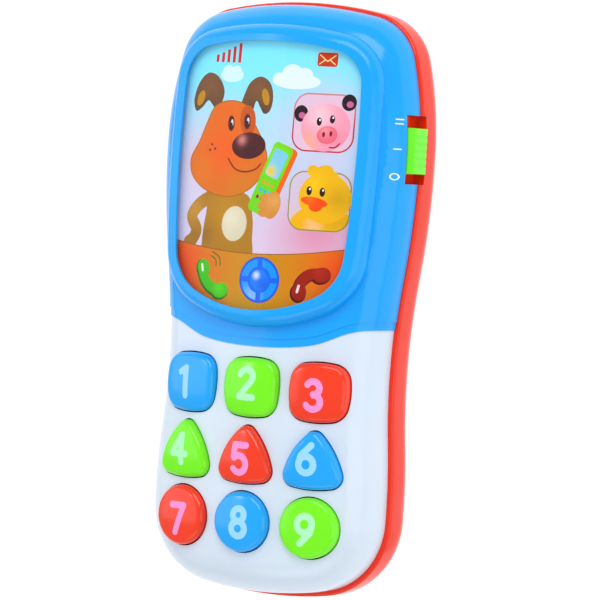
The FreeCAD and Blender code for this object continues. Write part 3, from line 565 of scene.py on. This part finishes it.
def drawPuppy(page):
    leftArm = joined(strokeShape([(-15.5, 28), (-20, 25.5), (-22.6, 22), (-20.6, 18.4), (-21.6, 15.8)], 1.9),
                     ellipseShape(-22.8, 15.2, 2.3, 1.6, 15))
    ink(page, leftArm, "#A97B3C", 0.2, glows=[(-22, 24, 4, "#C99A56", 0.7), (-21, 16, 3, "#8F6A2E", 0.6)])
    torso = blobShape([(-15.4, 29), (-17.6, 22), (-18.3, 15), (-17.6, 11.8), (-9, 11), (-1.2, 11.8),
                       (-1.0, 17), (-1.4, 23), (-4, 29)])
    ink(page, torso, "#AD7C34", 0.25, glows=[(-10, 24, 6, "#C4914A", 0.7), (-17.5, 17, 3, "#8B641F", 0.7)])
    ink(page, ellipseShape(-7.35, 20.6, 4.2, 4.9, -8), "#D6CDB2", 0.2,
        glows=[(-8.5, 22, 3.5, "#E6DFC9", 0.8)])
    for ear in ([(-15.2, 53.5), (-14.4, 57.5), (-16.8, 61.3), (-20.6, 62.4), (-23.8, 59.6), (-25.3, 54.8),
                 (-24.2, 51.6), (-22.0, 52.6), (-20.0, 54.6), (-18.4, 53.6), (-16.6, 51.8)],
                [(-8.2, 52.5), (-7.2, 57), (-5.4, 60.4), (-2.2, 61.9), (0.9, 60.2), (2.2, 56.5), (1.6, 52.6),
                 (-0.3, 51.6), (-1.9, 53.6), (-3.2, 55), (-4.8, 51)]):
        cx, cy = np.mean(ear, axis=0)
        ink(page, blobShape(ear), "#6C4A33", 0.2, glows=[(cx, cy + 3, 4, "#80583C", 0.8),
                                                         (cx, cy - 4.5, 3, "#45301F", 0.8)])
    ink(page, ellipseShape(-22.7, 55.2, 1.25, 2.3, -22), "#BC8A32", 0.15)
    ink(page, ellipseShape(-0.2, 56.3, 1.15, 2.4, 16), "#BC8A32", 0.15)
    head = blobShape([(-11.8, 54.7), (-6.2, 53.4), (-3.0, 48.4), (0.8, 42.5), (1.6, 37), (-2.6, 31),
                      (-9.6, 28.2), (-17.6, 29.4), (-23.2, 33.2), (-24.5, 38), (-21.8, 43),
                      (-19.6, 48.2), (-17, 53)])
    ink(page, grown(head, 0.28), "#A8672C", 0.2)
    ink(page, head, "#DB7B42", 0.2, glows=[(-13, 41, 8, "#F2704A", 0.85), (-12, 51, 5, "#E8723E", 0.7),
                                           (-20, 35, 4, "#E58A50", 0.5), (-6, 31, 5, "#D08A4C", 0.6)])
    ink(page, ellipseShape(-5.4, 49.6, 2.6, 4.2, 8), "#C65A2C", 0.2)
    for x, y in ((-11.0, 48.5), (-5.6, 49.2)):
        ink(page, ellipseShape(x, y, 1.12, 2.2, 4), "#7A2418", 0.12)
        ink(page, ellipseShape(x + 0.1, y, 0.85, 1.8, 4), "#2E0F14", 0.12)
        ink(page, ellipseShape(x + 0.3, y + 0.2, 0.42, 0.95, 4), "#E9DCE6", 0.08)
        ink(page, ellipseShape(x + 0.15, y - 0.35, 0.36, 0.6, 4), "#3A1418", 0.08)
    ink(page, ellipseShape(-4.5, 42.5, 5.6, 3.7, 4), "#4B161A", 0.15,
        glows=[(-6.8, 44.0, 1.4, "#D48C8A", 0.95), (-3.8, 41.0, 2.2, "#381014", 0.7)])
    ink(page, strokeShape([(-11.0, 38.6), (-8.6, 36.0), (-5.2, 35.2), (-1.8, 36.0), (0.0, 37.6)], 0.24),
        "#8E2A1A", 0.1)
    freckles = ((-17.2, 42.4), (-16.0, 41.2), (-17.8, 40.8))
    ink(page, joined(*(ellipseShape(x, y, 0.38, 0.34) for x, y in freckles)), "#6A2A12", 0.08)
    phone = (3.4, 33.6, 22)
    ink(page, boxShape(phone[0] + 1.5, phone[1] - 0.3, 3.2, 10.2, 1.4, -phone[2]), "#EE6A22", 0.2)
    ink(page, boxShape(phone[0], phone[1], 3.2, 10.4, 1.4, -phone[2]), "#6FD322", 0.2,
        glows=[(phone[0] + 2, phone[1] + 6, 4, "#93E84A", 0.7)])

    def onPhone(u, v):
        turn = math.radians(-phone[2])
        return (phone[0] + u * math.cos(turn) - v * math.sin(turn),
                phone[1] + u * math.sin(turn) + v * math.cos(turn))
    ink(page, boxShape(*onPhone(0, 4.6), 2.3, 4.0, 0.9, -phone[2]), "#8CCDE2", 0.15,
        glows=[(*onPhone(-0.8, 2), 1.6, "#F2C93A", 0.95)])
    for row in range(3):
        spots = [onPhone(-1.5 + 1.5 * k, -1.6 - 2.2 * row) for k in range(3)]
        ink(page, joined(*(ellipseShape(x, y, 0.55, 0.55) for x, y in spots)),
            ("#D9A02A", "#4FB9D8", "#A23A34")[row], 0.1)
    hand = joined(ellipseShape(4.6, 26.4, 2.6, 3.9, -14), ellipseShape(2.2, 28.4, 1.5, 1.1, 30),
                  ellipseShape(1.6, 26.2, 1.6, 1.1, 12), ellipseShape(1.8, 24.0, 1.5, 1.0, -10))
    ink(page, hand, "#D39458", 0.15, glows=[(5.5, 27.5, 2.5, "#E3AA72", 0.8)])


def drawTiles(page):
    pigTile, duckTile = boxShape(18.2, 49.9, 9.1, 8.1, 4.4), boxShape(18.8, 28.2, 9.1, 8.2, 4.4)
    ink(page, pigTile, "#C43A36", 0.2, fades=[((18, 46), (18, 56), "#C98A8E")])
    # the pink spot inside the tile is painted glow of the lamps shining through the card
    ink(page, grown(pigTile, -0.4), "#D9C6DC", 0.25, glows=[(19, 49, 8, "#F7BCCB", 0.9)])
    for x, y in ((11.4, 52.2), (25.2, 55.8)):
        ink(page, ellipseShape(x, y, 2.1, 2.3), "#21141B", 0.15)
        ink(page, ellipseShape(x + 0.3, y - 0.5, 1.0, 0.9), "#C9729A", 0.12)
    ink(page, ellipseShape(18.9, 48.6, 7.2, 6.6, 8), "#F3A7BC", 0.2,
        glows=[(17, 52, 4, "#FBCFD9", 0.9), (14, 44, 3, "#F7B98E", 0.7), (23, 45, 3, "#F294A8", 0.6)])
    ink(page, ellipseShape(19.6, 46.6, 3.0, 2.5, 8), "#EA7F8E", 0.15, glows=[(19, 47.6, 1.6, "#F6A3AC", 0.8)])
    ink(page, joined(ellipseShape(18.6, 46.7, 0.42, 0.75), ellipseShape(20.7, 47.0, 0.42, 0.75)),
        "#8E2F3A", 0.08)
    for x, y in ((17.0, 50.2), (20.8, 51.0)):
        ink(page, ellipseShape(x, y, 0.75, 1.15), "#2A1216", 0.1)
        ink(page, ellipseShape(x + 0.2, y + 0.45, 0.24, 0.32), "#FFFFFF", 0.07)
    ink(page, strokeShape([(20.6, 43.2), (22.2, 43.3), (23.4, 44.4)], 0.18), "#8E2F3A", 0.08)
    ink(page, duckTile, "#93903A", 0.2)
    # the warm spot inside the tile is painted glow of the lamps shining through the card
    ink(page, grown(duckTile, -0.35), "#D3C4DA", 0.25, glows=[(20, 24, 7, "#F3B27E", 0.6)])
    body = overlap(ellipseShape(20, 21.6, 9.4, 5.4), grown(duckTile, -0.35))
    ink(page, body, "#EFB42C", 0.2, glows=[(18, 21, 3.5, "#F6C7A0", 0.8), (24, 23, 4, "#D7A022", 0.7)])
    tuft = joined(ellipseShape(19.4, 36.2, 3.0, 1.9, 20), ellipseShape(16.4, 36.6, 1.7, 1.5),
                  ellipseShape(22.2, 35.2, 2.0, 1.5, -20))
    ink(page, joined(ellipseShape(20.4, 29.2, 7.7, 7.0, -8), tuft), "#EDB52B", 0.2,
        glows=[(17, 33, 3, "#F6CB52", 0.8), (24, 29, 3.4, "#C99A1E", 0.7)])
    for x, y in ((15.7, 31.0), (19.6, 30.8)):
        ink(page, ellipseShape(x, y, 0.8, 1.25), "#2C1512", 0.1)
        ink(page, ellipseShape(x + 0.2, y + 0.5, 0.26, 0.34), "#FFFFFF", 0.07)
    ink(page, joined(ellipseShape(17.4, 28.0, 4.0, 1.3, -8), ellipseShape(17.9, 26.7, 2.0, 1.4)),
        "#F05020", 0.15, glows=[(16, 28.6, 1.6, "#F8814A", 0.8)])


def shadowOf(shape):
    # a little larger than the shape, and down to the left
    return (lambda px, py: shape[0](px + 0.3, py + 0.35) - 0.25), grown(shape, 1)[1]


def drawButtons(page):
    bandTop = [(-32, 15.6), (-26.6, 14.7), (-13, 13.0), (0, 12.5), (14, 13.3), (27.1, 15.2), (32, 16.2)]
    band = outlineShape(smoothLine(bandTop) + [np.array([32.0, -8.0]), np.array([-32.0, -8.0])])
    ink(page, grown(band, 0.22), "#8A5A1C", 0.3)
    ink(page, band, "#CB8A18", 0.3, glows=[(-28, 7, 14, "#EC3C00", 1.0), (29, 8, 13, "#F04806", 1.0),
                                           (0, -4, 7, "#B9962A", 0.6)])
    green = strokeShape([(-17.2, 8.4), (-16.6, 5.6), (-14.4, 3.0), (-10.8, 1.4)], 1.5)
    green = joined(green, ellipseShape(-16.9, 7.8, 2.1, 2.5, 20), ellipseShape(-10.6, 1.8, 2.7, 2.1, 12))
    ink(page, shadowOf(green), "#2A7012", 0.15)
    ink(page, green, "#3FBB14", 0.15, glows=[(-11, 2.2, 2, "#5FDB26", 0.7)])
    ink(page, strokeShape([(-17.5, 8.6), (-17.2, 7.0)], 0.36), "#EAFBE0", 0.08)
    ink(page, joined(strokeShape([(-14.4, 11.2), (-12.8, 10.2), (-12.5, 8.6)], 0.2),
                     strokeShape([(-14.0, 12.4), (-11.6, 11.0), (-11.1, 8.8)], 0.2)), "#5C6A1C", 0.1)
    ink(page, ellipseShape(2.2, 5.5, 6.4, 6.4), "#2151C8", 0.2)
    ink(page, ellipseShape(2.2, 5.5, 6.1, 6.1), "#2E6CEB", 0.2)
    ring = without(ellipseShape(2.2, 5.5, 5.7, 5.7), ellipseShape(2.2, 5.5, 3.7, 3.7))
    gaps = joined(*(boxShape(2.2 + 4.7 * math.cos(a), 5.5 + 4.7 * math.sin(a), 1.4, 0.75, 0.1,
                             math.degrees(a))
                    for a in (math.pi / 2, 0, -math.pi / 2, math.pi)))
    ink(page, without(ring, gaps), "#4F9FF6", 0.15, glows=[(0, 1, 3, "#A6CCFB", 0.7)])
    ink(page, ellipseShape(2.2, 5.5, 2.9, 2.9), "#3B84F2", 0.15,
        glows=[(1.2, 6.7, 1.1, "#E2ECFF", 0.9), (3.4, 4.2, 1.6, "#2558D6", 0.7)])
    red = joined(strokeShape([(14.6, 3.0), (15.4, 5.8), (17.9, 8.0), (21.4, 8.2)], 1.5),
                 ellipseShape(14.8, 2.9, 2.2, 2.4), ellipseShape(21.2, 8.0, 2.6, 2.1, 12))
    ink(page, shadowOf(red), "#5A0D08", 0.15)
    ink(page, red, "#9C1B0A", 0.15, glows=[(20.5, 8.6, 2, "#B92C18", 0.7)])
    ink(page, strokeShape([(14.2, 2.9), (14.6, 4.6)], 0.36), "#F9DED6", 0.08)


# coated card stock
coatedCard = mouldedPlastic("coatedCard", "#E9EEF4", roughness=0.5, grain=0.2, depth=0.004, mottle=0.03)
drawPicture()
print("stage: picture")


# digits: pad-printed strokes on each key's dome, pale against the key's own colour
digitStyle = {"height": 9.3, "gridHeight": 9.3, "strokeRadius": 0.95, "inkThickness": 0.006,
              "inks": {"blue": "#A9DEF8", "green": "#B9F6C6", "red": "#F4A4D8"},
              "shifts": [(-1.3, 0), (-0.4, 1.1), (-0.4, -0.7), (-1.1, 1.0), (-0.6, -0.2), (-0.7, 1.4),
                         (-0.2, -1.0), (0.3, 0), (0, -0.3)]}


def digitLines(number):
    # each line runs through points on a grid 5 wide and 9 high about its middle
    arc = lambda cx, cy, rx, ry, a0, a1: [(cx + rx * math.cos(math.radians(a)),
                                           cy + ry * math.sin(math.radians(a)))
                                          for a in np.linspace(a0, a1, 16)]
    return {
        1: [[(-1.3, 2.7), (0.5, 3.9), (0.5, -3.9)]],
        2: [arc(0, 1.9, 2.1, 2.0, 165, -35) + [(-2.1, -3.8)], [(-2.1, -3.8), (2.2, -3.8)]],
        3: [arc(0, 1.95, 1.9, 1.9, 150, -80), arc(0, -1.75, 2.2, 2.1, 85, -150)],
        4: [[(0.9, -3.9), (0.9, 3.8), (-2.4, -1.5), (2.4, -1.5)]],
        5: [[(2.0, 3.9), (-1.5, 3.9), (-1.8, 0.5)] + arc(-0.1, -1.4, 2.2, 2.4, 135, -145)],
        6: [arc(0, -1.5, 2.2, 2.3, 0, 360), [(-2.1, -1.2), (-1.6, 0.9), (1.2, 3.9)]],
        7: [[(-2.1, 3.8), (2.1, 3.8), (-0.7, -3.9)]],
        8: [arc(0, 2.0, 1.75, 1.8, 0, 360), arc(0, -1.8, 2.1, 2.1, 0, 360)],
        9: [arc(0, 1.5, 2.2, 2.3, 0, 360), [(2.1, 1.2), (1.6, -0.9), (-1.2, -3.9)]],
    }[number]


def drawDigit(number, colour, cap):
    lowest, highest = (Vector(corner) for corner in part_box("key_" + str(number)))
    x, y = (lowest.x + highest.x) / 2 / mm, (lowest.y + highest.y) / 2 / mm
    if number in (4, 5, 6):
        y -= 1.0  # a triangle is widest below its middle
    x, y = x + digitStyle["shifts"][number - 1][0], y + digitStyle["shifts"][number - 1][1]
    drawing = startDrawing(surfaceOf(cap), firstLift=digitStyle["inkThickness"], layerStep=0.0)
    scale = digitStyle["height"] / digitStyle["gridHeight"]
    strokes = []
    for line in digitLines(number):
        strokes.append(strokeShape([(x + px * scale, y + py * scale) for px, py in line],
                                   digitStyle["strokeRadius"], False))
    ink(drawing, joined(*strokes), digitStyle["inks"][colour], 0.12)
    finishDrawing(drawing, "digit" + str(number), "key_" + str(number), padInk)


for number, colour in enumerate(keyColours, 1):
    drawDigit(number, colour, keyCaps[number - 1])
print("stage: digits")


# three plain marks beside the slide switch: a ring, one bar and two bars
def drawSwitchMarks():
    drawing = startDrawing(surfaceOf(casingPieces["front_bezel"]), firstLift=0.03, layerStep=0.0)
    ring = without(ellipseShape(37.0, 36.2, 1.0, 1.0), ellipseShape(37.0, 36.2, 0.68, 0.68))
    oneBar = boxShape(37.3, 43.8, 0.8, 0.19, 0.15)
    twoBars = joined(boxShape(37.2, 50.8, 0.8, 0.19, 0.15), boxShape(37.2, 52.0, 0.8, 0.19, 0.15))
    ink(drawing, joined(ring, oneBar, twoBars), "#E8F6FF", 0.1)
    finishDrawing(drawing, "switchMarks", "casing", padInk)


drawSwitchMarks()
print("stage: switch marks")


# window: clear moulded acrylic, see-through with a mirror sheen that grows at a slant
def clearAcrylic():
    material, tree, shader = newMaterial("clearAcrylic")
    place = addNode(tree, "ShaderNodeTexCoord").outputs["Object"]
    waves = addNode(tree, "ShaderNodeTexNoise", {"Scale": 1 / (9 * mm), "Detail": 1.0}, {"Vector": place})
    ripple = addNode(tree, "ShaderNodeBump", {"Strength": 0.15, "Distance": 0.01 * mm},
                     {"Height": waves.outputs["Fac"]})
    clear = addNode(tree, "ShaderNodeBsdfTransparent", {"Color": (0.985, 0.99, 0.995, 1)})
    gloss = addNode(tree, "ShaderNodeBsdfGlossy", {"Roughness": 0.03}, {"Normal": ripple.outputs["Normal"]})
    slant = addNode(tree, "ShaderNodeFresnel", {"IOR": 1.3}, {"Normal": ripple.outputs["Normal"]})
    back = addNode(tree, "ShaderNodeNewGeometry").outputs["Backfacing"]
    front = addNode(tree, "ShaderNodeMath", {"operation": "SUBTRACT"})
    front.inputs[0].default_value = 1.0
    tree.links.new(back, front.inputs[1])
    outside = addNode(tree, "ShaderNodeMath", {"operation": "MULTIPLY"})
    tree.links.new(slant.outputs["Fac"], outside.inputs[0])
    tree.links.new(front.outputs["Value"], outside.inputs[1])
    mix = tree.nodes.new("ShaderNodeMixShader")
    tree.links.new(outside.outputs["Value"], mix.inputs[0])
    tree.links.new(clear.outputs["BSDF"], mix.inputs[1])
    tree.links.new(gloss.outputs["BSDF"], mix.inputs[2])
    tree.links.new(mix.outputs["Shader"], tree.nodes["Material Output"].inputs["Surface"])
    tree.nodes.remove(shader)
    return material


cleanCopy("screen_window", "clearWindow", clearAcrylic())
print("stage: window")


# metals, screws and the pieces inside
def platedMetal(name, colour, roughness, brush, metallic=1.0):
    # plated and tumbled: fine scratches break the shine, and a faint bloom shifts the tone
    material, tree, shader = newMaterial(name)
    place = addNode(tree, "ShaderNodeTexCoord").outputs["Object"]
    bloom = addNode(tree, "ShaderNodeTexNoise", {"Scale": 1 / (2 * mm), "Detail": 4.0}, {"Vector": place})
    ramp = addNode(tree, "ShaderNodeMix", {"data_type": "RGBA"})
    base = linear(colour)
    ramp.inputs[6].default_value = [c * 0.85 for c in base[:3]] + [1]
    ramp.inputs[7].default_value = base
    tree.links.new(bloom.outputs["Fac"], ramp.inputs[0])
    tree.links.new(ramp.outputs[2], shader.inputs["Base Color"])
    scratches = addNode(tree, "ShaderNodeTexNoise", {"Scale": 1 / (brush * mm), "Detail": 6.0},
                        {"Vector": place})
    gloss = addNode(tree, "ShaderNodeMapRange", {"To Min": roughness * 0.7, "To Max": roughness * 1.4},
                    {"Value": scratches.outputs["Fac"]})
    tree.links.new(gloss.outputs["Result"], shader.inputs["Roughness"])
    shader.inputs["Metallic"].default_value = metallic
    return material


innerFinish = {
    "zincPlatedSteel": platedMetal("zincPlatedSteel", "#C9CBCF", 0.28, 0.2),
    "nickelSpringSteel": platedMetal("nickelSpringSteel", "#DAD6CC", 0.18, 0.3),
    "tinnedSteel": platedMetal("tinnedSteel", "#CFCFCC", 0.32, 0.4),
    "paintedBasketSteel": platedMetal("paintedBasketSteel", "#4A4B4E", 0.4, 0.4, 0.7),
    "cellJacket": platedMetal("cellJacket", "#46505E", 0.3, 0.6, 0.6),
    "groundFerrite": mouldedPlastic("groundFerrite", "#2A2A2C", roughness=0.55, grain=0.2, depth=0.02,
                                    mottle=0.2),
    "pressedPaper": mouldedPlastic("pressedPaper", "#1E1E20", roughness=0.8, grain=0.25, depth=0.05,
                                   mottle=0.25),
    "greenSolderMask": mouldedPlastic("greenSolderMask", "#1E6B34", roughness=0.35, grain=0.6, depth=0.02,
                                      mottle=0.15),
    "blackEpoxy": mouldedPlastic("blackEpoxy", "#17171A", roughness=0.3, grain=0.8, depth=0.03, mottle=0.1),
    "milkyPolystyrene": mouldedPlastic("milkyPolystyrene", "#F2F2F0", roughness=0.45, mottle=0.02),
    "greySilicone": mouldedPlastic("greySilicone", "#C6C6C2", roughness=0.6, grain=0.5, depth=0.02,
                                   mottle=0.04),
    "tintedLampEpoxy": mouldedPlastic("tintedLampEpoxy", "#F6C6C6", roughness=0.1, mottle=0.03),
    "blackNylon": mouldedPlastic("blackNylon", "#1A1A1C", roughness=0.5, mottle=0.08),
    "softVinyl": mouldedPlastic("softVinyl", "#C2261C", roughness=0.42, grain=0.4, mottle=0.06),
}
innerPieces = {
    "light_box": "milkyPolystyrene", "keypad_membrane": "greySilicone", "keypad_board": "greenSolderMask",
    "board_components": "blackEpoxy", "board_screws": "zincPlatedSteel", "light_board": "greenSolderMask",
    "light_board_screws": "zincPlatedSteel", "led_lamps": "tintedLampEpoxy", "case_screws": "zincPlatedSteel",
    "battery_1": "cellJacket", "battery_2": "cellJacket", "battery_terminals": "nickelSpringSteel",
    "battery_bridge": "nickelSpringSteel", "speaker_frame": "paintedBasketSteel", "speaker_cone": "pressedPaper",
    "speaker_magnet": "groundFerrite", "mode_switch_slider": "blackNylon", "mode_switch_body": "tinnedSteel",
    "mode_switch_board": "greenSolderMask", "link_wires": "softVinyl", "speaker_wires": "softVinyl",
    "switch_wires": "softVinyl", "battery_door_screw": "zincPlatedSteel"}


# machine screws: one turned screw with a cross recess, set out by a node group at every place
screwForms = {"case_screws": {"name": "caseScrews", "shank": 1.3, "headHeight": 1.8,
                              "recess": (1.5, 0.4, 0.8), "pitch": 0.9},
              "board_screws": {"name": "boardScrews", "shank": 0.85, "headHeight": 0.9,
                               "recess": (0.9, 0.25, 0.4), "pitch": 0.7},
              "light_board_screws": {"name": "lightBoardScrews", "shank": 0.85, "headHeight": 0.9,
                                     "recess": (0.9, 0.25, 0.4), "pitch": 0.7}}


screwSides, headRings, edgeSteps = 96, 40, 6
screwApart, topDepth, recessSlope, weldDistance = 8 * mm, 0.2 * mm, 0.12 * mm, 0.002 * mm


def screwPlaces(nodeName):
    # corners of each loose screw of the frame's node, gathered about its own middle
    spots = []
    for vertex in nodes[nodeName].data.vertices:
        at = nodes[nodeName].matrix_world @ vertex.co
        for group in spots:
            if math.hypot(group[0].x - at.x, group[0].y - at.y) < screwApart:
                group.append(at)
                break
        else:
            spots.append([at])
    middles = []
    for group in spots:
        middles.append(tuple((min(p[i] for p in group) + max(p[i] for p in group)) / 2 for i in (0, 1)))
    return middles, spots[0]


def turnedScrew(form, headRadius, height, headDown):
    reach, halfArm, depth = (size * mm for size in form["recess"])
    shank, headHeight, pitch = (form[k] * mm for k in ("shank", "headHeight", "pitch"))
    rounding = 0.35 * shank
    root, rootStart, rootEnd, tip = shank * 0.8, pitch * 0.35, pitch * 0.55, shank * 0.7
    flat = [headRadius * i / headRings for i in range(headRings + 1)]
    rings = [(radius, 0) for radius in flat if radius < headRadius - rounding]
    turn = [math.pi / 2 * i / edgeSteps for i in range(edgeSteps + 1)]
    rings += [(headRadius - rounding * (1 - math.sin(a)), rounding * (1 - math.cos(a))) for a in turn]
    rings += [(headRadius, headHeight), (shank, headHeight)]
    z = headHeight
    while z + pitch < height:
        rings += [(shank, z), (root, z + rootStart), (root, z + rootEnd)]
        z += pitch
    rings += [(shank, z), (tip, height), (0, height)]
    points, faces, sides = [], [], screwSides
    for radius, z in rings:
        for step in range(sides):
            angle = math.tau * step / sides
            x, y = radius * math.cos(angle), radius * math.sin(angle)
            sunk = 0
            if z == 0:
                inArm = min(halfArm - min(abs(x), abs(y)), reach - max(abs(x), abs(y)))
                sunk = depth * min(1, max(0, inArm / recessSlope))
            points.append((x, y, (z + sunk) if headDown else -(z + sunk)))
    for ring in range(len(rings) - 1):
        for step in range(sides):
            after = (step + 1) % sides
            corners = (ring * sides + step, ring * sides + after, (ring + 1) * sides + after,
                       (ring + 1) * sides + step)
            faces.append(corners[::-1] if headDown else corners)
    mesh = bpy.data.meshes.new("turnedScrew")
    mesh.from_pydata(points, [], faces)
    work = bmesh.new()
    work.from_mesh(mesh)
    bmesh.ops.remove_doubles(work, verts=work.verts, dist=weldDistance)
    bmesh.ops.recalc_face_normals(work, faces=work.faces)
    work.to_mesh(mesh)
    work.free()
    mesh.shade_smooth()
    mesh.set_sharp_from_angle(angle=math.radians(35))
    return mesh


def screwRowGroup():
    group = bpy.data.node_groups.new("screwsAtPlaces", "GeometryNodeTree")
    inputs = {}
    for name, kind in (("Places", "Geometry"), ("Screw", "Object"), ("Turn Spread", "Float"),
                       ("Seed", "Int"), ("Finish", "Material")):
        inputs[name] = group.interface.new_socket(name, in_out="INPUT",
                                                  socket_type="NodeSocket" + kind).identifier
    group.interface.new_socket("Screws", in_out="OUTPUT", socket_type="NodeSocketGeometry")
    given = addNode(group, "NodeGroupInput").outputs
    screw = addNode(group, "GeometryNodeObjectInfo", {}, {"Object": given["Screw"]})
    widest = addNode(group, "ShaderNodeCombineXYZ", {}, {"Z": given["Turn Spread"]})
    turn = addNode(group, "FunctionNodeRandomValue", {"data_type": "FLOAT_VECTOR"})
    group.links.new(widest.outputs["Vector"], turn.inputs["Max"])
    group.links.new(given["Seed"], turn.inputs["Seed"])
    placed = addNode(group, "GeometryNodeInstanceOnPoints", {},
                     {"Points": given["Places"], "Instance": screw.outputs["Geometry"],
                      "Rotation": turn.outputs["Value"]})
    real = addNode(group, "GeometryNodeRealizeInstances", {}, {"Geometry": placed.outputs["Instances"]})
    finished = addNode(group, "GeometryNodeSetMaterial", {},
                       {"Geometry": real.outputs["Geometry"], "Material": given["Finish"]})
    addNode(group, "NodeGroupOutput", {}, {"Screws": finished.outputs["Geometry"]})
    return group, inputs


def setScrews(nodeName, group, inputs, seed, material):
    form = screwForms[nodeName]
    places, first = screwPlaces(nodeName)
    lowest, highest = (Vector(corner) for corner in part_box(nodeName))
    headRadius = (max(p.x for p in first) - min(p.x for p in first)) / 2
    topSlice = [p for p in first if highest.z - p.z < topDepth]
    atTop = max(math.hypot(p.x - places[0][0], p.y - places[0][1]) for p in topSlice)
    headDown = atTop < headRadius * 0.9
    screw = bpy.data.objects.new("turnedScrew", turnedScrew(form, headRadius, highest.z - lowest.z, headDown))
    dots = bpy.data.meshes.new("screwPlaces")
    dots.from_pydata([(x, y, lowest.z if headDown else highest.z) for x, y in places], [], [])
    holder = bpy.data.objects.new("screwPlaces", dots)
    bpy.context.collection.objects.link(screw)
    bpy.context.collection.objects.link(holder)
    modifier = holder.modifiers.new("screwsAtPlaces", "NODES")
    modifier.node_group = group
    for name, value in (("Screw", screw), ("Turn Spread", 1.5), ("Seed", seed), ("Finish", material)):
        modifier[inputs[name]] = value
    bpy.context.view_layer.update()
    graph = bpy.context.evaluated_depsgraph_get()
    mesh = bpy.data.meshes.new_from_object(holder.evaluated_get(graph), depsgraph=graph)
    piece = bpy.data.objects.new(screwForms[nodeName]["name"], mesh)
    bpy.data.objects.remove(holder)
    bpy.data.objects.remove(screw)
    bpy.context.collection.objects.link(piece)
    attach(piece, bodyOf(nodeName))
    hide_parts(nodeName)
    print("screws", nodeName, len(places), "head down" if headDown else "head up", round(headRadius / mm, 2),
          len(mesh.polygons))


screwGroup, screwInputs = screwRowGroup()
for seed, nodeName in enumerate(screwForms, 3):
    setScrews(nodeName, screwGroup, screwInputs, seed, innerFinish["zincPlatedSteel"])
    innerPieces.pop(nodeName)
print("stage: screws")


for nodeName, finish in innerPieces.items():
    for slot in nodes[nodeName].material_slots:
        slot.material = innerFinish[finish]
print("stage: inner pieces")


# floor
def makeFloor():
    mesh = bpy.data.meshes.new("paleFloor")
    reach = 3
    corners = [(-reach, -reach, 0), (reach, -reach, 0), (reach, reach, 0), (-reach, reach, 0)]
    mesh.from_pydata(corners, [], [(0, 1, 2, 3)])
    floor = bpy.data.objects.new("paleFloor", mesh)
    floor.location.z = -0.02 * mm  # a hair below the back, so that the two never share a plane
    material, tree, shader = newMaterial("matteWhitePaper")
    shader.inputs["Base Color"].default_value = linear("#808080")
    shader.inputs["Roughness"].default_value = 0.9
    shader.inputs["Emission Color"].default_value = (1, 1, 1, 1)
    shader.inputs["Emission Strength"].default_value = 0.9
    mesh.materials.append(material)
    bpy.context.collection.objects.link(floor)


makeFloor()
